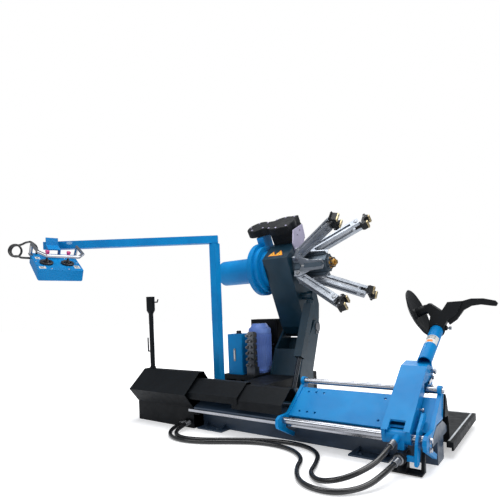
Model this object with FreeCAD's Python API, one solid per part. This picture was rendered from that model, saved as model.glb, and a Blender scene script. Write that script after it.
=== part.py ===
import FreeCAD, Part
import math
import os

# Truck tyre changer. Millimetres. X runs along the bed towards the tool end, Y away from the
# operator, Z up from the floor; the origin is on the floor under the middle of the bed.

os.makedirs("parts", exist_ok=True)

# ---- driving dimensions ------------------------------------------------------------------
GAP = 0.3                      # between curved faces of different bodies
RUN = 0.05                     # radial running clearance of shafts and pins

# bed
BED_X0, BED_X1 = -796.0, 780.0
WEB_Y0, WEB_Y1 = -65.0, 60.0
DECK_Y0, DECK_Y1 = -160.0, 150.0
DECK_Z = 118.0                 # underside of the deck's lips
LIP_Z = 150.0                  # top of the lips
DECK_TOP_Z = 196.0
DECK_TOP_Y0, DECK_TOP_Y1 = -70.0, 60.0
FRONT_ANCHOR_X = (-668.0, 450.0)
REAR_ANCHOR_X = (-300.0, 450.0)
FRONT_ANCHOR_Y, REAR_ANCHOR_Y = -108.0, 103.0
ANCHOR_RIB_Z = 34.0            # the rear ribs stay under the platform's lip
ANCHOR_R = 9.0

# fixed housing and telescopic covers
HOUSE_X0, HOUSE_X1 = -1390.0, -800.0
SHEET = 4.0
HOUSE_YZ = [(-160, 0), (-160, 143), (-245, 247), (-90, 384), (-40, 384), (43, 272),
            (120, 190), (120, 0)]
COVER_SHEET = 3.0
MID_YZ = [(-200, 214), (-200, 257), (-90, 338), (-50, 338), (30, 256), (60, 215)]
LOW_YZ = [(-192, 183), (-192, 240), (-88, 322), (-52, 322), (20, 248), (45, 213)]
MID_X = (-850.0, -380.0)
LOW_X = (-430.0, -50.0)

# carriage
CAR_X0, CAR_X1 = -50.0, 780.0
END_T = 20.0
SLOPE = math.degrees(math.atan2(171.0, 235.0))
SLOPE_TOP = (103.0, 367.0)     # rear top corner of the end plates (Y, Z)
BAR_Y, BAR_Z, BAR_R = -204.0, 162.0, 20.0
REAR_Y, REAR_Z, REAR_R = 72.0, 350.0, 18.0
PLATFORM_X = (250.0, 826.0)
PLATFORM_Y = (165.0, 780.0)
PLATFORM_Z = (55.0, 85.0)

# cross beam and column
BEAM_X = (-750.0, -490.0)
BEAM_Y1 = 1100.0
BEAM_Z = 250.0
COL_T = 20.0
PIVOT_Y, PIVOT_Z = 1100.0, 645.0
PIVOT_R = 25.0

# chuck arm
ARM_X = (-742.0, -498.0)
CHUCK_Y, CHUCK_Z = 848.0, 1175.0
ARM_YZ = [(946, 655), (672, 1236), (815, 1364), (930, 1418), (1030, 1300), (1215, 850),
          (1195, 645), (1150, 575), (1080, 560), (1010, 590)]
SPINDLE_R = 60.0

# lift cylinder: lower pivot, upper pin, and the line between them
FOOT_Y, FOOT_Z = 562.0, 165.0
EYE_Y, EYE_Z = 922.0, 920.0
LIFT_X = -420.0
LIFT_ROD_R = 18.0
EYE_CLEAR = 13.0               # the upper eye is opened by this much all round its pin

# chuck
ARM_ROOT_X, ARM_ROOT_R = -430.0, 130.0
ARM_ANGLE = 34.5               # chuck arms from the chuck axis
ARM_LEN = 485.0
ARM_W, ARM_D = 86.0, 62.0
LUG_T = 9.0
JAW_PIN = 460.0                # from the arm's root pivot
JAW_PIN_R = 8.0
JAW_HALF = 34.0                # half a jaw's width
ROOT_PIN_R = 10.0
CHUCK_REST = 8.0               # the chuck stands turned this much about its axis
CHUCK_ANGLES = tuple(CHUCK_REST + corner for corner in (45.0, 135.0, 225.0, 315.0))
CHUCK_FLAT = 72.0              # from the chuck axis to the flats of its body
COVER_BACK, COVER_UP = 160.0, 297.0     # the belt cover's underside, in the arm's axes
COVER_TIP = 8.0                # the belt cover's tilt beyond the arm's

# tool arm
TOOL_X = (560.0, 700.0)
TUBE_X = 672.0
TUBE_R = 38.0
TUBE_FOOT = (170.0, 484.0)     # on the tube's centre line (Y, Z)
TUBE_ANGLE = 26.5
TUBE_LEN = 352.0
DISC_C = (553.0, 500.0, 750.0)
DISC_TILT = 22.4
DISC_R = 158.0
INDEX_Y, INDEX_Z, INDEX_R = 513.0, 655.0, 6.0

# hoses: free hydraulic hoses on the floor, from the housing to the tool slide
HOSE_R = 13.0
FERRULE_R = 16.0
HOSE_LOW = [(-869, -178, 46), (-878, -285, 28), (-812, -388, 14), (-680, -440, 14),
            (-520, -410, 14), (-350, -310, 14), (-170, -226, 14), (20, -232, 14),
            (165, -335, 14), (215, -500, 14), (320, -640, 14), (480, -660, 14),
            (590, -560, 22), (644, -436, 60), (660, -313, 80)]
HOSE_HIGH = [(-824, -178, 46), (-834, -276, 28), (-780, -362, 14), (-672, -396, 14),
             (-530, -360, 14), (-380, -276, 14), (-220, -196, 14), (-60, -146, 14),
             (90, -156, 14), (210, -240, 14), (268, -385, 14), (298, -510, 14),
             (388, -585, 18), (508, -568, 50), (596, -462, 92), (623, -366, 128),
             (631, -277, 152)]

# post, boom and console
POST_X, POST_Y = -930.0, 280.0
POST_TOP = 1359.0
TUBE_SIDE = 60.0
BOOM_LEN = 1390.0
BOOM_DIR = 216.3               # degrees from +X
CONSOLE_YAW = 73.6
CONSOLE_PITCH = 29.7
CONSOLE_O = (-1657.0, -779.0, 1155.0)   # front left corner of the console's top
CONSOLE_W, CONSOLE_D, CONSOLE_H = 314.0, 310.0, 85.0
CABLE_R = 8.0                  # the console's control cable
CABLE_TURN = 52.0              # corners of its coil's turns, from the coil's centre
CABLE_COIL = (-2090.0, -735.0, 1345.0)  # the coil's centre, left of the console
TURN_AT = 1300.0               # console pivot, along the boom from the post
TURN_R = 12.0                  # its stud
JOY_X = (80.0, 226.0)          # joysticks, along the console's width
JOY_Y = 124.0                  # and back from its front edge
JOY_PIN_Z = -8.0               # the sticks' pivot pins, below the console's top

X, Y, Z = FreeCAD.Vector(1, 0, 0), FreeCAD.Vector(0, 1, 0), FreeCAD.Vector(0, 0, 1)


# ---- helpers -----------------------------------------------------------------------------
def v(x, y, z):
    return FreeCAD.Vector(x, y, z)


def box(x0, x1, y0, y1, z0, z1):
    return Part.makeBox(x1 - x0, y1 - y0, z1 - z0, v(x0, y0, z0))


def cyl(base, axis, radius, length):
    return Part.makeCylinder(radius, length, base, axis)


def yz_face(points, x):
    loop = [v(x, y, z) for y, z in points]
    return Part.Face(Part.makePolygon(loop + [loop[0]]))


def yz_prism(points, x0, x1):
    return yz_face(points, x0).extrude(v(x1 - x0, 0, 0))


def xz_prism(points, y0, y1):
    loop = [v(x, y0, z) for x, z in points]
    return Part.Face(Part.makePolygon(loop + [loop[0]])).extrude(v(0, y1 - y0, 0))


def xy_prism(points, z0, z1):
    loop = [v(x, y, z0) for x, y in points]
    return Part.Face(Part.makePolygon(loop + [loop[0]])).extrude(v(0, 0, z1 - z0))


def fuse(*shapes):
    out = shapes[0]
    for s in shapes[1:]:
        out = out.fuse(s)
    return out.removeSplitter()


def cut(shape, *tools):
    for t in tools:
        shape = shape.cut(t)
    return shape


def placed(shape, *steps):
    """The shape turned and moved: each step is a Placement, the first one applied first."""
    for step in steps:
        shape = shape.transformed(step.toMatrix())
    return shape


def turn(axis, degrees, about=None):
    about = about or v(0, 0, 0)
    return FreeCAD.Placement(v(0, 0, 0), FreeCAD.Rotation(axis, degrees), about)


def shift(x, y, z):
    return FreeCAD.Placement(v(x, y, z), FreeCAD.Rotation())


def inset(points, t):
    """The closed outline moved inwards by t, wherever it winds."""
    n = len(points)
    area = sum(points[i][0] * points[(i + 1) % n][1] - points[(i + 1) % n][0] * points[i][1]
               for i in range(n))
    side = 1.0 if area > 0 else -1.0
    lines = []
    for i in range(n):
        (ay, az), (by, bz) = points[i], points[(i + 1) % n]
        length = math.hypot(by - ay, bz - az)
        ny, nz = -(bz - az) / length * side, (by - ay) / length * side
        lines.append((ny, nz, ny * ay + nz * az + t))
    out = []
    for i in range(n):
        a, b, c = lines[i - 1]
        d, e, f = lines[i]
        det = a * e - b * d
        out.append(((c * e - b * f) / det, (a * f - c * d) / det))
    return out


def strip(points, t):
    """An open outline given a thickness t on the side of its inner points."""
    inner = []
    for i, (y, z) in enumerate(points):
        before = points[max(i - 1, 0)]
        here = points[i]
        after = points[min(i + 1, len(points) - 1)]
        normals = []
        for p, q in ((before, here), (here, after)):
            length = math.hypot(q[0] - p[0], q[1] - p[1])
            if length > 0:
                normals.append(((q[1] - p[1]) / length, -(q[0] - p[0]) / length))
        ny = sum(n[0] for n in normals) / len(normals)
        nz = sum(n[1] for n in normals) / len(normals)
        scale = t / (ny * ny + nz * nz)
        inner.append((y + ny * scale, z + nz * scale))
    return list(points) + inner[::-1]


def bolt_head(base, axis, radius, height):
    """A hexagon head with its washer, standing on a face."""
    ring = cyl(base, axis, radius * 1.25, height * 0.25)
    hexagon = Part.makePolygon([v(radius * math.cos(math.radians(60 * k)),
                                  radius * math.sin(math.radians(60 * k)), 0)
                                for k in range(7)])
    head = Part.Face(hexagon).extrude(v(0, 0, height))
    spin = FreeCAD.Rotation(Z, axis)
    head = head.transformed(FreeCAD.Placement(base, spin).toMatrix())
    return ring.fuse(head)


def compound(shapes):
    return shapes[0] if len(shapes) == 1 else Part.makeCompound(shapes)


def save(name, shape):
    shape.exportStep("parts/" + name + ".step")


# ---- bed ---------------------------------------------------------------------------------
def bed_beam():
    outer = [(WEB_Y0, 0), (WEB_Y1, 0), (WEB_Y1, DECK_Z), (DECK_Y1, DECK_Z), (DECK_Y1, LIP_Z),
             (DECK_TOP_Y1, DECK_TOP_Z), (DECK_TOP_Y0, DECK_TOP_Z), (DECK_Y0, LIP_Z),
             (DECK_Y0, DECK_Z), (WEB_Y0, DECK_Z)]
    hollow = [(WEB_Y0 + 12, 12), (WEB_Y1 - 12, 12), (WEB_Y1 - 12, 180), (WEB_Y0 + 12, 180)]
    return yz_prism(outer, BED_X0, BED_X1).cut(yz_prism(hollow, BED_X0 + 12, BED_X1 - 12))


def bed_rail():
    rail = box(-837, 770, DECK_Y0 - 12, DECK_Y0, DECK_Z, DECK_Z + 20)
    return rail.makeChamfer(1.5, [e for e in rail.Edges if e.Length > 1000 and
                                  e.CenterOfMass.y < DECK_Y0 - 5])


def anchor_bracket(x, outwards):
    """One foot on the bed's web, outwards -1 at the front and +1 at the back."""
    inner, hole_y = (WEB_Y0, FRONT_ANCHOR_Y) if outwards < 0 else (WEB_Y1, REAR_ANCHOR_Y)
    outer = inner + outwards * 88
    foot = box(x - 110, x + 110, min(inner, outer), max(inner, outer), 0, 10)
    for rib_x in (x - 80, x + 72):
        rib = yz_prism([(inner, 10), (inner + outwards * 55, 10), (inner, ANCHOR_RIB_Z)],
                       rib_x, rib_x + 8)
        foot = foot.fuse(rib)
    foot = foot.removeSplitter().cut(cyl(v(x, hole_y, -1), Z, ANCHOR_R, 12))
    bolts = [bolt_head(v(x + dx, hole_y + outwards * 12, 10), Z, 9, 8) for dx in (-50, 50)]
    return [foot, *bolts]


def anchor_brackets():
    out = []
    for x in FRONT_ANCHOR_X:
        out += anchor_bracket(x, -1)
    for x in REAR_ANCHOR_X:
        out += anchor_bracket(x, 1)
    return compound(out)


# ---- housing, tool post and covers -------------------------------------------------------
def ferrule(end, towards, length):
    """A steel hose end: it starts on the hose's end face and runs back along the hose's line."""
    line = v(*end) - v(*towards)
    return cyl(v(*end), line, FERRULE_R, length)


def housing():
    shell = yz_prism(HOUSE_YZ, HOUSE_X0, HOUSE_X1)
    inner = inset(HOUSE_YZ, SHEET)
    shell = shell.cut(yz_prism(inner, HOUSE_X0 + SHEET, HOUSE_X1 + 1))
    for k in range(5):
        x = HOUSE_X0 + 150 + 95 * k
        slot = fuse(box(x - 14, x + 14, -72, -58, 375, 390),
                    cyl(v(x - 14, -65, 375), Z, 7, 15), cyl(v(x + 14, -65, 375), Z, 7, 15))
        shell = shell.cut(slot)
    front_tie = box(HOUSE_X1 - 60, BEAM_X[0], HOUSE_YZ[0][0], WEB_Y0, 100, 110)
    rear_tie = box(HOUSE_X1 - 60, BEAM_X[0], WEB_Y1, HOUSE_YZ[-1][0] - SHEET, 100, 110)
    hose_ends = [ferrule(HOSE_LOW[0], HOSE_LOW[1], 20), ferrule(HOSE_HIGH[0], HOSE_HIGH[1], 20)]
    return fuse(shell, front_tie, rear_tie, *hose_ends)


def tool_post():
    x, y, z = -1320.0, -65.0, 384.0
    profile = [(0, z), (24, z), (24, z + 14), (18, z + 14), (18, 815), (32.5, 842),
               (32.5, 950), (26, 950), (26, 850), (0, 850)]
    loop = [v(x + r, y, h) for r, h in profile]
    face = Part.Face(Part.makePolygon(loop + [loop[0]]))
    return face.revolve(v(x, y, 0), Z, 360)


def rod(points, radius):
    """A round bar along straight runs, with a ball at each inner corner."""
    parts = []
    for a, b in zip(points, points[1:]):
        parts.append(cyl(a, b.sub(a), radius, b.sub(a).Length))
    for p in points[1:-1]:
        parts.append(Part.makeSphere(radius, p))
    return fuse(*parts)


def post_hooks():
    x, y = -1320.0, -65.0
    right = rod([v(x + 32, y, 905), v(x + 78, y, 905), v(x + 88, y, 926)], 5)
    left = rod([v(x - 17, y, 520), v(x - 46, y, 520), v(x - 46, y, 628)], 5.5)
    cup = cyl(v(x, y, 842), Z, 32.5, 108)
    pole = cyl(v(x, y, 400), Z, 18, 400)
    return compound([right.cut(cup), left.cut(pole)])


def cover(points, x0, x1):
    return yz_prism(strip(points, COVER_SHEET), x0, x1)


# ---- carriage ----------------------------------------------------------------------------
def slope_z(y, drop=0.0):
    return SLOPE_TOP[1] - (SLOPE_TOP[0] - y) * math.tan(math.radians(SLOPE)) - drop


def end_plate(x0):
    outline = [SLOPE_TOP, (-132, slope_z(-132)), (-152, 190), (-235, 190), (-262, 175),
               (-268, 150), (-258, 122), (-92, 40), (-80, 62), (-180, 112), (-180, 144),
               (-166, 156), (-72, 203), (66, 203), (108, 345)]
    plate = yz_prism(outline, x0, x0 + END_T)
    rear = cyl(v(x0, REAR_Y, REAR_Z), X, 26, END_T)
    return plate.fuse(rear).removeSplitter()


def slope_plate():
    y0, y1, t, drop = -146.0, 42.0, 12.0, 8.0
    run = math.radians(SLOPE)
    dy, dz = t * math.sin(run), -t * math.cos(run)
    a, b = (y0, slope_z(y0, drop)), (y1, slope_z(y1, drop))
    plate = yz_prism([a, b, (b[0] + dy, b[1] + dz), (a[0] + dy, a[1] + dz)],
                     CAR_X0 + END_T, CAR_X1 - END_T)
    normal = v(0, -math.sin(run), math.cos(run))
    for y in (14.0, -112.0):
        for x in (24.0, 75.0, 126.0, 500.0, 551.0, 602.0):
            top = v(x, y, slope_z(y, drop))
            plate = plate.cut(cyl(top - normal * 20, normal, 7, 40))
    return plate


def plate_stays():
    """Two ribs under the inclined plate that tie it to the carriage's shoe."""
    stays = []
    for x in (60.0, 380.0, 690.0):
        under = 8.0 + 12.0 / math.cos(math.radians(SLOPE))
        stays.append(yz_prism([(-120, slope_z(-120, under)), (42, slope_z(42, under)),
                               (60, 207), (-66, 207)], x, x + 12))
    shoe = box(CAR_X0 + END_T, CAR_X1 - END_T, -66, 60, 202, 212)
    return fuse(shoe, *stays)


def bar(y, z, r):
    return cyl(v(CAR_X0 + END_T, y, z), X, r, CAR_X1 - CAR_X0 - 2 * END_T)


def platform():
    slab = box(PLATFORM_X[0], PLATFORM_X[1], PLATFORM_Y[0], PLATFORM_Y[1],
               PLATFORM_Z[0], PLATFORM_Z[1])
    tongue = box(792, PLATFORM_X[1], 72, PLATFORM_Y[0], PLATFORM_Z[0], PLATFORM_Z[1])
    lip = box(PLATFORM_X[1] - 10, PLATFORM_X[1], 72, PLATFORM_Y[1], 40, PLATFORM_Z[0])
    return fuse(slab, tongue, lip)


def platform_hanger():
    outline = [(104, 328), (70, 213), (140, 205), (157, 160), (157, 55), (165, 55), (165, 172),
               (150, 232), (128, 300)]
    return yz_prism(outline, CAR_X1, CAR_X1 + 10).fuse(
        yz_prism([(157, 55), (165, 55), (165, 205), (157, 205)], 250, CAR_X1 + 10)
    ).removeSplitter()


def end_bolts():
    """Fixing bolts on the outer face of the right end plate."""
    spots = ((BAR_Y, BAR_Z, 13), (-214, 120, 11), (REAR_Y, REAR_Z, 12))
    return compound([bolt_head(v(CAR_X1, y, z), X, r, 12) for y, z, r in spots])


# ---- cross beam, column and lift cylinder ------------------------------------------------
def cross_beam():
    y = 102.0
    share = (DECK_Y1 - y) / (DECK_Y1 - DECK_TOP_Y1)
    z = LIP_Z + share * (DECK_TOP_Z - LIP_Z)
    outline = [(WEB_Y1, 0), (WEB_Y1, DECK_Z), (DECK_Y1, DECK_Z), (DECK_Y1, LIP_Z), (y, z),
               (y, BEAM_Z), (BEAM_Y1, BEAM_Z), (BEAM_Y1, 0)]
    hollow = [(170, 8), (170, BEAM_Z - 8), (BEAM_Y1 - 8, BEAM_Z - 8), (BEAM_Y1 - 8, 8)]
    return yz_prism(outline, *BEAM_X).cut(yz_prism(hollow, BEAM_X[0] + 8, BEAM_X[1] - 8))


def beam_cover():
    x0, x1, t = BEAM_X[0] - 3, BEAM_X[1] + 3, 3.0
    top = box(x0, x1, 104, 745, BEAM_Z, BEAM_Z + t)
    left = box(x0, x0 + t, 165, 745, BEAM_Z - 55, BEAM_Z)
    right = box(x1 - t, x1, 165, 745, BEAM_Z - 55, BEAM_Z)
    return fuse(top, left, right)


def column_plate(x0):
    flank = yz_prism([(775, 60), (775, 262), (862, 470), (1040, 663), (1160, 663),
                      (1000, 262), (1000, 60)], x0, x0 + COL_T)
    head = cyl(v(x0, PIVOT_Y, PIVOT_Z), X, 62, COL_T)
    return flank.fuse(head).removeSplitter().cut(cyl(v(x0, PIVOT_Y, PIVOT_Z), X, PIVOT_R,
                                                     COL_T))


def column_web():
    front = yz_prism([(778, 250), (788, 250), (873, 462), (864, 466)], *BEAM_X)
    rear = yz_prism([(985, 250), (995, 250), (1062, 440), (1052, 444)], *BEAM_X)
    return [front, rear]


def pivot_pin():
    x0, x1 = BEAM_X[0] - COL_T, BEAM_X[1] + COL_T
    shaft = cyl(v(x0, PIVOT_Y, PIVOT_Z), X, PIVOT_R, x1 - x0)
    heads = [cyl(v(x1, PIVOT_Y, PIVOT_Z), X, 34, 10),
             cyl(v(x0 - 10, PIVOT_Y, PIVOT_Z), X, 34, 10)]
    return fuse(shaft, *heads)


def pin_keeper():
    plate = box(BEAM_X[1] + COL_T, BEAM_X[1] + COL_T + 6, PIVOT_Y - 30, PIVOT_Y + 30,
                PIVOT_Z - 60, PIVOT_Z - 36)
    bolt = bolt_head(v(BEAM_X[1] + COL_T + 6, PIVOT_Y, PIVOT_Z - 48), X, 8, 6)
    return plate.fuse(bolt)


def lift_foot():
    x0 = BEAM_X[1]
    base = box(x0, -385, FOOT_Y - 45, FOOT_Y + 45, 40, 118)
    ears = []
    for ex in (-457.0, -400.0):
        ear = yz_prism([(FOOT_Y - 40, 118), (FOOT_Y + 40, 118), (FOOT_Y + 30, FOOT_Z),
                        (FOOT_Y - 30, FOOT_Z)], ex, ex + 17)
        ears.append(ear.fuse(cyl(v(ex, FOOT_Y, FOOT_Z), X, 30, 17)))
    pin = cyl(v(-462, FOOT_Y, FOOT_Z), X, 14, 84)
    return fuse(base, *ears, pin)


LIFT_LEN = math.hypot(EYE_Y - FOOT_Y, EYE_Z - FOOT_Z)
LIFT_DIR = v(0, (EYE_Y - FOOT_Y) / LIFT_LEN, (EYE_Z - FOOT_Z) / LIFT_LEN)


def along_lift(s):
    return v(LIFT_X, FOOT_Y, FOOT_Z) + LIFT_DIR * s


def lift_rod():
    eye = cyl(v(LIFT_X - 19, FOOT_Y, FOOT_Z), X, 28, 38)
    shaft = cyl(along_lift(20), LIFT_DIR, LIFT_ROD_R, 530)
    piston = cyl(along_lift(540), LIFT_DIR, 24.95, 20)
    return fuse(eye, shaft, piston).cut(cyl(v(LIFT_X - 20, FOOT_Y, FOOT_Z), X, 14 + RUN, 40))


def lift_barrel():
    body = cyl(along_lift(292), LIFT_DIR, 30, 492)
    neck = cyl(along_lift(778), LIFT_DIR, 17, 40)
    eye = cyl(v(LIFT_X - 20, EYE_Y, EYE_Z), X, 44, 40)
    shape = fuse(body, neck, eye)
    bore = cyl(along_lift(312), LIFT_DIR, 25, 456)
    gland = cyl(along_lift(291), LIFT_DIR, LIFT_ROD_R + RUN, 30)
    hole = cyl(v(LIFT_X - 21, EYE_Y, EYE_Z), X, 15 + EYE_CLEAR, 42)
    return cut(shape, bore, gland, hole)


def barrel_guard():
    half, t = 35.0, 4.0
    turned = FreeCAD.Placement(v(0, 0, 0), FreeCAD.Rotation(Z, LIFT_DIR))
    outer = box(-half, half, -half, half, 278, 750)
    inner = box(-half + t, half - t, -half + t, half - t, 277, 751)
    collar = box(-half + t, half - t, -half + t, half - t, 500, 506)
    collar = collar.cut(cyl(v(0, 0, 499), Z, 30, 8))
    sleeve = outer.cut(inner).fuse(collar)
    place = FreeCAD.Placement(v(LIFT_X, FOOT_Y, FOOT_Z), turned.Rotation)
    return sleeve.transformed(place.toMatrix())


def lift_eye_pin():
    x0 = ARM_X[1]
    boss = cyl(v(x0, EYE_Y, EYE_Z), X, 34, LIFT_X - 24 - x0)
    pin = cyl(v(x0, EYE_Y, EYE_Z), X, 15, LIFT_X + 30 - x0)
    cap = cyl(v(LIFT_X + 24, EYE_Y, EYE_Z), X, 40, 8)
    return fuse(boss, pin, cap)


# ---- chuck arm ---------------------------------------------------------------------------
def arm_frame():
    """Placement whose local Z runs up the chuck arm from the chuck's centre and whose local
    Y points back."""
    lean = math.degrees(math.atan2(PIVOT_Y - CHUCK_Y, CHUCK_Z - PIVOT_Z))
    return FreeCAD.Placement(v(0, CHUCK_Y, CHUCK_Z), FreeCAD.Rotation(X, lean))


def chuck_arm():
    outer = yz_prism(ARM_YZ, *ARM_X)
    inner = yz_prism(inset(ARM_YZ, 10), ARM_X[0] + 10, ARM_X[1] - 10)
    width = ARM_X[1] - ARM_X[0]
    tubes = fuse(cyl(v(ARM_X[0], PIVOT_Y, PIVOT_Z), X, 45, width),
                 cyl(v(ARM_X[0], CHUCK_Y, CHUCK_Z), X, 85, width))
    shape = outer.cut(inner).fuse(tubes)
    return cut(shape, cyl(v(ARM_X[0], PIVOT_Y, PIVOT_Z), X, PIVOT_R + RUN, width),
               cyl(v(ARM_X[0], CHUCK_Y, CHUCK_Z), X, SPINDLE_R + RUN, width))


def gear_case():
    y, z = CHUCK_Y, CHUCK_Z
    rim = cyl(v(-869, y, z), X, 232, 45)
    step = cyl(v(-824, y, z), X, 205, 42)
    hub = cyl(v(-782, y, z), X, 160, ARM_X[0] + 782)
    ring = cyl(v(-881, y, z), X, 165, 12)
    neck = placed(box(-869, -800, 60, 190, 130, COVER_UP - 20), arm_frame())
    shape = fuse(rim, step, hub, ring, neck)
    rim_edges = [e for e in shape.Edges if abs(e.Length - 2 * math.pi * 165) < 1.0 and
                 e.CenterOfMass.x < -880]
    shape = shape.makeFillet(6, rim_edges) if rim_edges else shape
    return shape.cut(cyl(v(-760, y, z), X, SPINDLE_R + GAP, 30))


def gear_bolts():
    out = []
    for k in range(12):
        a = math.radians(30 * k + 15)
        out.append(bolt_head(v(-869, CHUCK_Y + 203 * math.cos(a), CHUCK_Z + 203 * math.sin(a)),
                             v(-1, 0, 0), 11, 9))
    return compound(out)


def opening_cylinder():
    x0, x1 = -1299.0, -881.0
    barrel = cyl(v(x0, CHUCK_Y, CHUCK_Z), X, 115, x1 - x0)
    end = [e for e in barrel.Edges if abs(e.CenterOfMass.x - x0) < 1 and e.Length > 100]
    return barrel.makeFillet(14, end[:1]).cut(cyl(v(x0 + 20, CHUCK_Y, CHUCK_Z), X, 98,
                                                  x1 - x0 - 32))


def cover_frame():
    """Placement of the belt cover's underside: above the arm, set back and tipped forward."""
    tip = FreeCAD.Placement(v(0, COVER_BACK, COVER_UP), FreeCAD.Rotation(X, COVER_TIP))
    return arm_frame().multiply(tip)


def drive_cover():
    """Belt cover across the top of the arm: two round lobes with a waist between them."""
    left, right, waist, high = (-880.0, 105.0), (-640.0, 128.0), 78.0, 62.0
    lobes = fuse(cyl(v(left[0], 0, 0), Z, left[1], high), cyl(v(right[0], 0, 0), Z, right[1], high),
                 box(left[0], right[0], -waist, waist, 0, high),
                 box(right[0], -520, -116, 116, 0, high))
    top = [e for e in lobes.Edges if e.CenterOfMass.z > high - 0.1]
    room = fuse(cyl(v(left[0], 0, -1), Z, left[1] - 8, high - 7),
                cyl(v(right[0], 0, -1), Z, right[1] - 8, high - 7),
                box(left[0], right[0], -waist + 8, waist - 8, -1, high - 8))
    return placed(lobes.makeChamfer(5, top).cut(room), cover_frame())


def cover_screws():
    spots = [(-960, 0), (-905, 72), (-905, -72), (-800, 52), (-800, -52), (-720, 84),
             (-720, -84), (-545, 92), (-545, -92), (-640, 104), (-640, -104)]
    heads = [bolt_head(v(x, y, 62), Z, 7, 5) for x, y in spots]
    return compound([placed(h, cover_frame()) for h in heads])


def drive_motor():
    body = fuse(box(-720, -512, -92, 92, -150, 0), cyl(v(-620, 40, -64), Y, 62, 150))
    return placed(body, cover_frame()).cut(yz_prism(ARM_YZ, *ARM_X))


def motor_bracket():
    outline = [(20, 112), (150, 112), (235, 190), (240, 296), (70, 296), (10, 200)]
    plate = yz_prism(outline, ARM_X[1], ARM_X[1] + 10)
    plate = cut(plate, cyl(v(ARM_X[1], 110, 240), X, 9, 10), cyl(v(ARM_X[1], 170, 262), X, 9, 10))
    return placed(plate, arm_frame())


# ---- chuck -------------------------------------------------------------------------------
def radial(shape, angle):
    """From the plane of +X and +Z about the chuck axis to the arm at this angle."""
    return placed(shape, turn(X, angle - 90.0), shift(0, CHUCK_Y, CHUCK_Z))


def chuck_body():
    corner = CHUCK_FLAT / math.cos(math.radians(22.5))
    turns = [math.radians(CHUCK_REST + 22.5 + 45 * k) for k in range(8)]
    outline = [(CHUCK_Y + corner * math.cos(a), CHUCK_Z + corner * math.sin(a)) for a in turns]
    body = yz_prism(outline, -425, -205)
    hub = cyl(v(-496, CHUCK_Y, CHUCK_Z), X, 92, 71)
    front = cyl(v(-205, CHUCK_Y, CHUCK_Z), X, 52, 18)
    spindle = cyl(v(-755, CHUCK_Y, CHUCK_Z), X, SPINDLE_R, 259)
    bore = cyl(v(-290, CHUCK_Y, CHUCK_Z), X, 20 + RUN, 110)
    return fuse(body, hub, front, spindle).cut(bore)


def chuck_lugs():
    """Pairs of bright plates that carry the four arms."""
    out = []
    for angle in CHUCK_ANGLES:
        for y0 in (ARM_W / 2 + GAP, -ARM_W / 2 - GAP - LUG_T):
            plate = xz_prism([(-424, 60), (-215, 60), (-220, 98), (-330, 108), (-400, 160),
                              (-456, 160), (-474, 100), (-424, 93)], y0, y0 + LUG_T)
            plate = plate.cut(cyl(v(ARM_ROOT_X, y0 - 1, ARM_ROOT_R), Y, ROOT_PIN_R, 12))
            out.append(radial(plate, angle))
    return out


def chuck_wedges():
    """Dark blocks on the flats of the body between the arms, with the lugs let into them."""
    out = []
    lugs = chuck_lugs()
    for angle in CHUCK_ANGLES:
        wedge = xz_prism([(-400, CHUCK_FLAT), (-222, CHUCK_FLAT), (-236, 92), (-386, 92)], -34, 34)
        out.append(cut(radial(wedge, angle - 45.0), *lugs))
    return out


def chuck_pins():
    out = []
    for angle in CHUCK_ANGLES:
        reach = ARM_W / 2 + GAP + LUG_T
        pin = cyl(v(ARM_ROOT_X, -reach, ARM_ROOT_R), Y, ROOT_PIN_R, 2 * reach)
        heads = [cyl(v(ARM_ROOT_X, -reach - 7, ARM_ROOT_R), Y, 16, 7),
                 cyl(v(ARM_ROOT_X, reach, ARM_ROOT_R), Y, 16, 7)]
        out.append(radial(fuse(pin, *heads), angle))
    return compound(out)


def claw_arm():
    """One chuck arm in its own axes: +X along the arm from the root pivot."""
    half_w, half_d = ARM_W / 2, ARM_D / 2
    root = cyl(v(0, -half_w, 0), Y, half_d, ARM_W)
    body = fuse(box(0, ARM_LEN, -half_w, half_w, -half_d, half_d), root)
    for side in (-1, 1):
        z0, z1 = sorted((side * half_d, side * (half_d - 12)))
        y0, y1 = sorted((side * half_w, side * (half_w - 13)))
        groove = box(60, ARM_LEN - 75, -13, 13, z0, z1)
        channel = box(60, ARM_LEN - 75, y0, y1, -13, 13)
        body = cut(body, groove, channel)
    slot = box(ARM_LEN - 68, ARM_LEN + 1, -15.3, 15.3, -half_d - 5, half_d + 5)
    bore = cyl(v(0, -half_w - 1, 0), Y, ROOT_PIN_R + RUN, ARM_W + 2)
    body = cut(body, slot, bore)
    pin = cyl(v(JAW_PIN, -half_w - 5, 0), Y, JAW_PIN_R, ARM_W + 10)
    return fuse(body, pin)


def set_arm(shape, angle):
    local = placed(shape, turn(Y, -ARM_ANGLE), shift(ARM_ROOT_X, 0, ARM_ROOT_R))
    return radial(local, angle)


def jaw():
    """One jaw about its pin, with +X along the chuck axis and +Z outwards."""
    tongue = fuse(cyl(v(0, -15, 0), Y, 24, 30), box(0, 46, -15, 15, -20, 20))
    claw = xz_prism([(43, -28), (64, -32), (90, -14), (92, 4), (70, 0), (62, 18), (66, 42),
                     (90, 50), (92, 68), (58, 80), (43, 60)], -JAW_HALF, JAW_HALF)
    tip = xz_prism([(43, 60), (58, 80), (54, 94), (40, 86)], -JAW_HALF, JAW_HALF)
    shape = fuse(tongue, claw, tip)
    return shape.cut(cyl(v(0, -31, 0), Y, JAW_PIN_R + RUN, 62))


def jaw_pads():
    """The jaw's gold-coloured gripping edges."""
    upper = xz_prism([(90, 50), (92, 68), (100, 68), (98, 49)], -JAW_HALF, JAW_HALF)
    lower = xz_prism([(90, -14), (92, 4), (100, 4), (97, -18)], -JAW_HALF, JAW_HALF)
    return compound([upper, lower])


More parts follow.
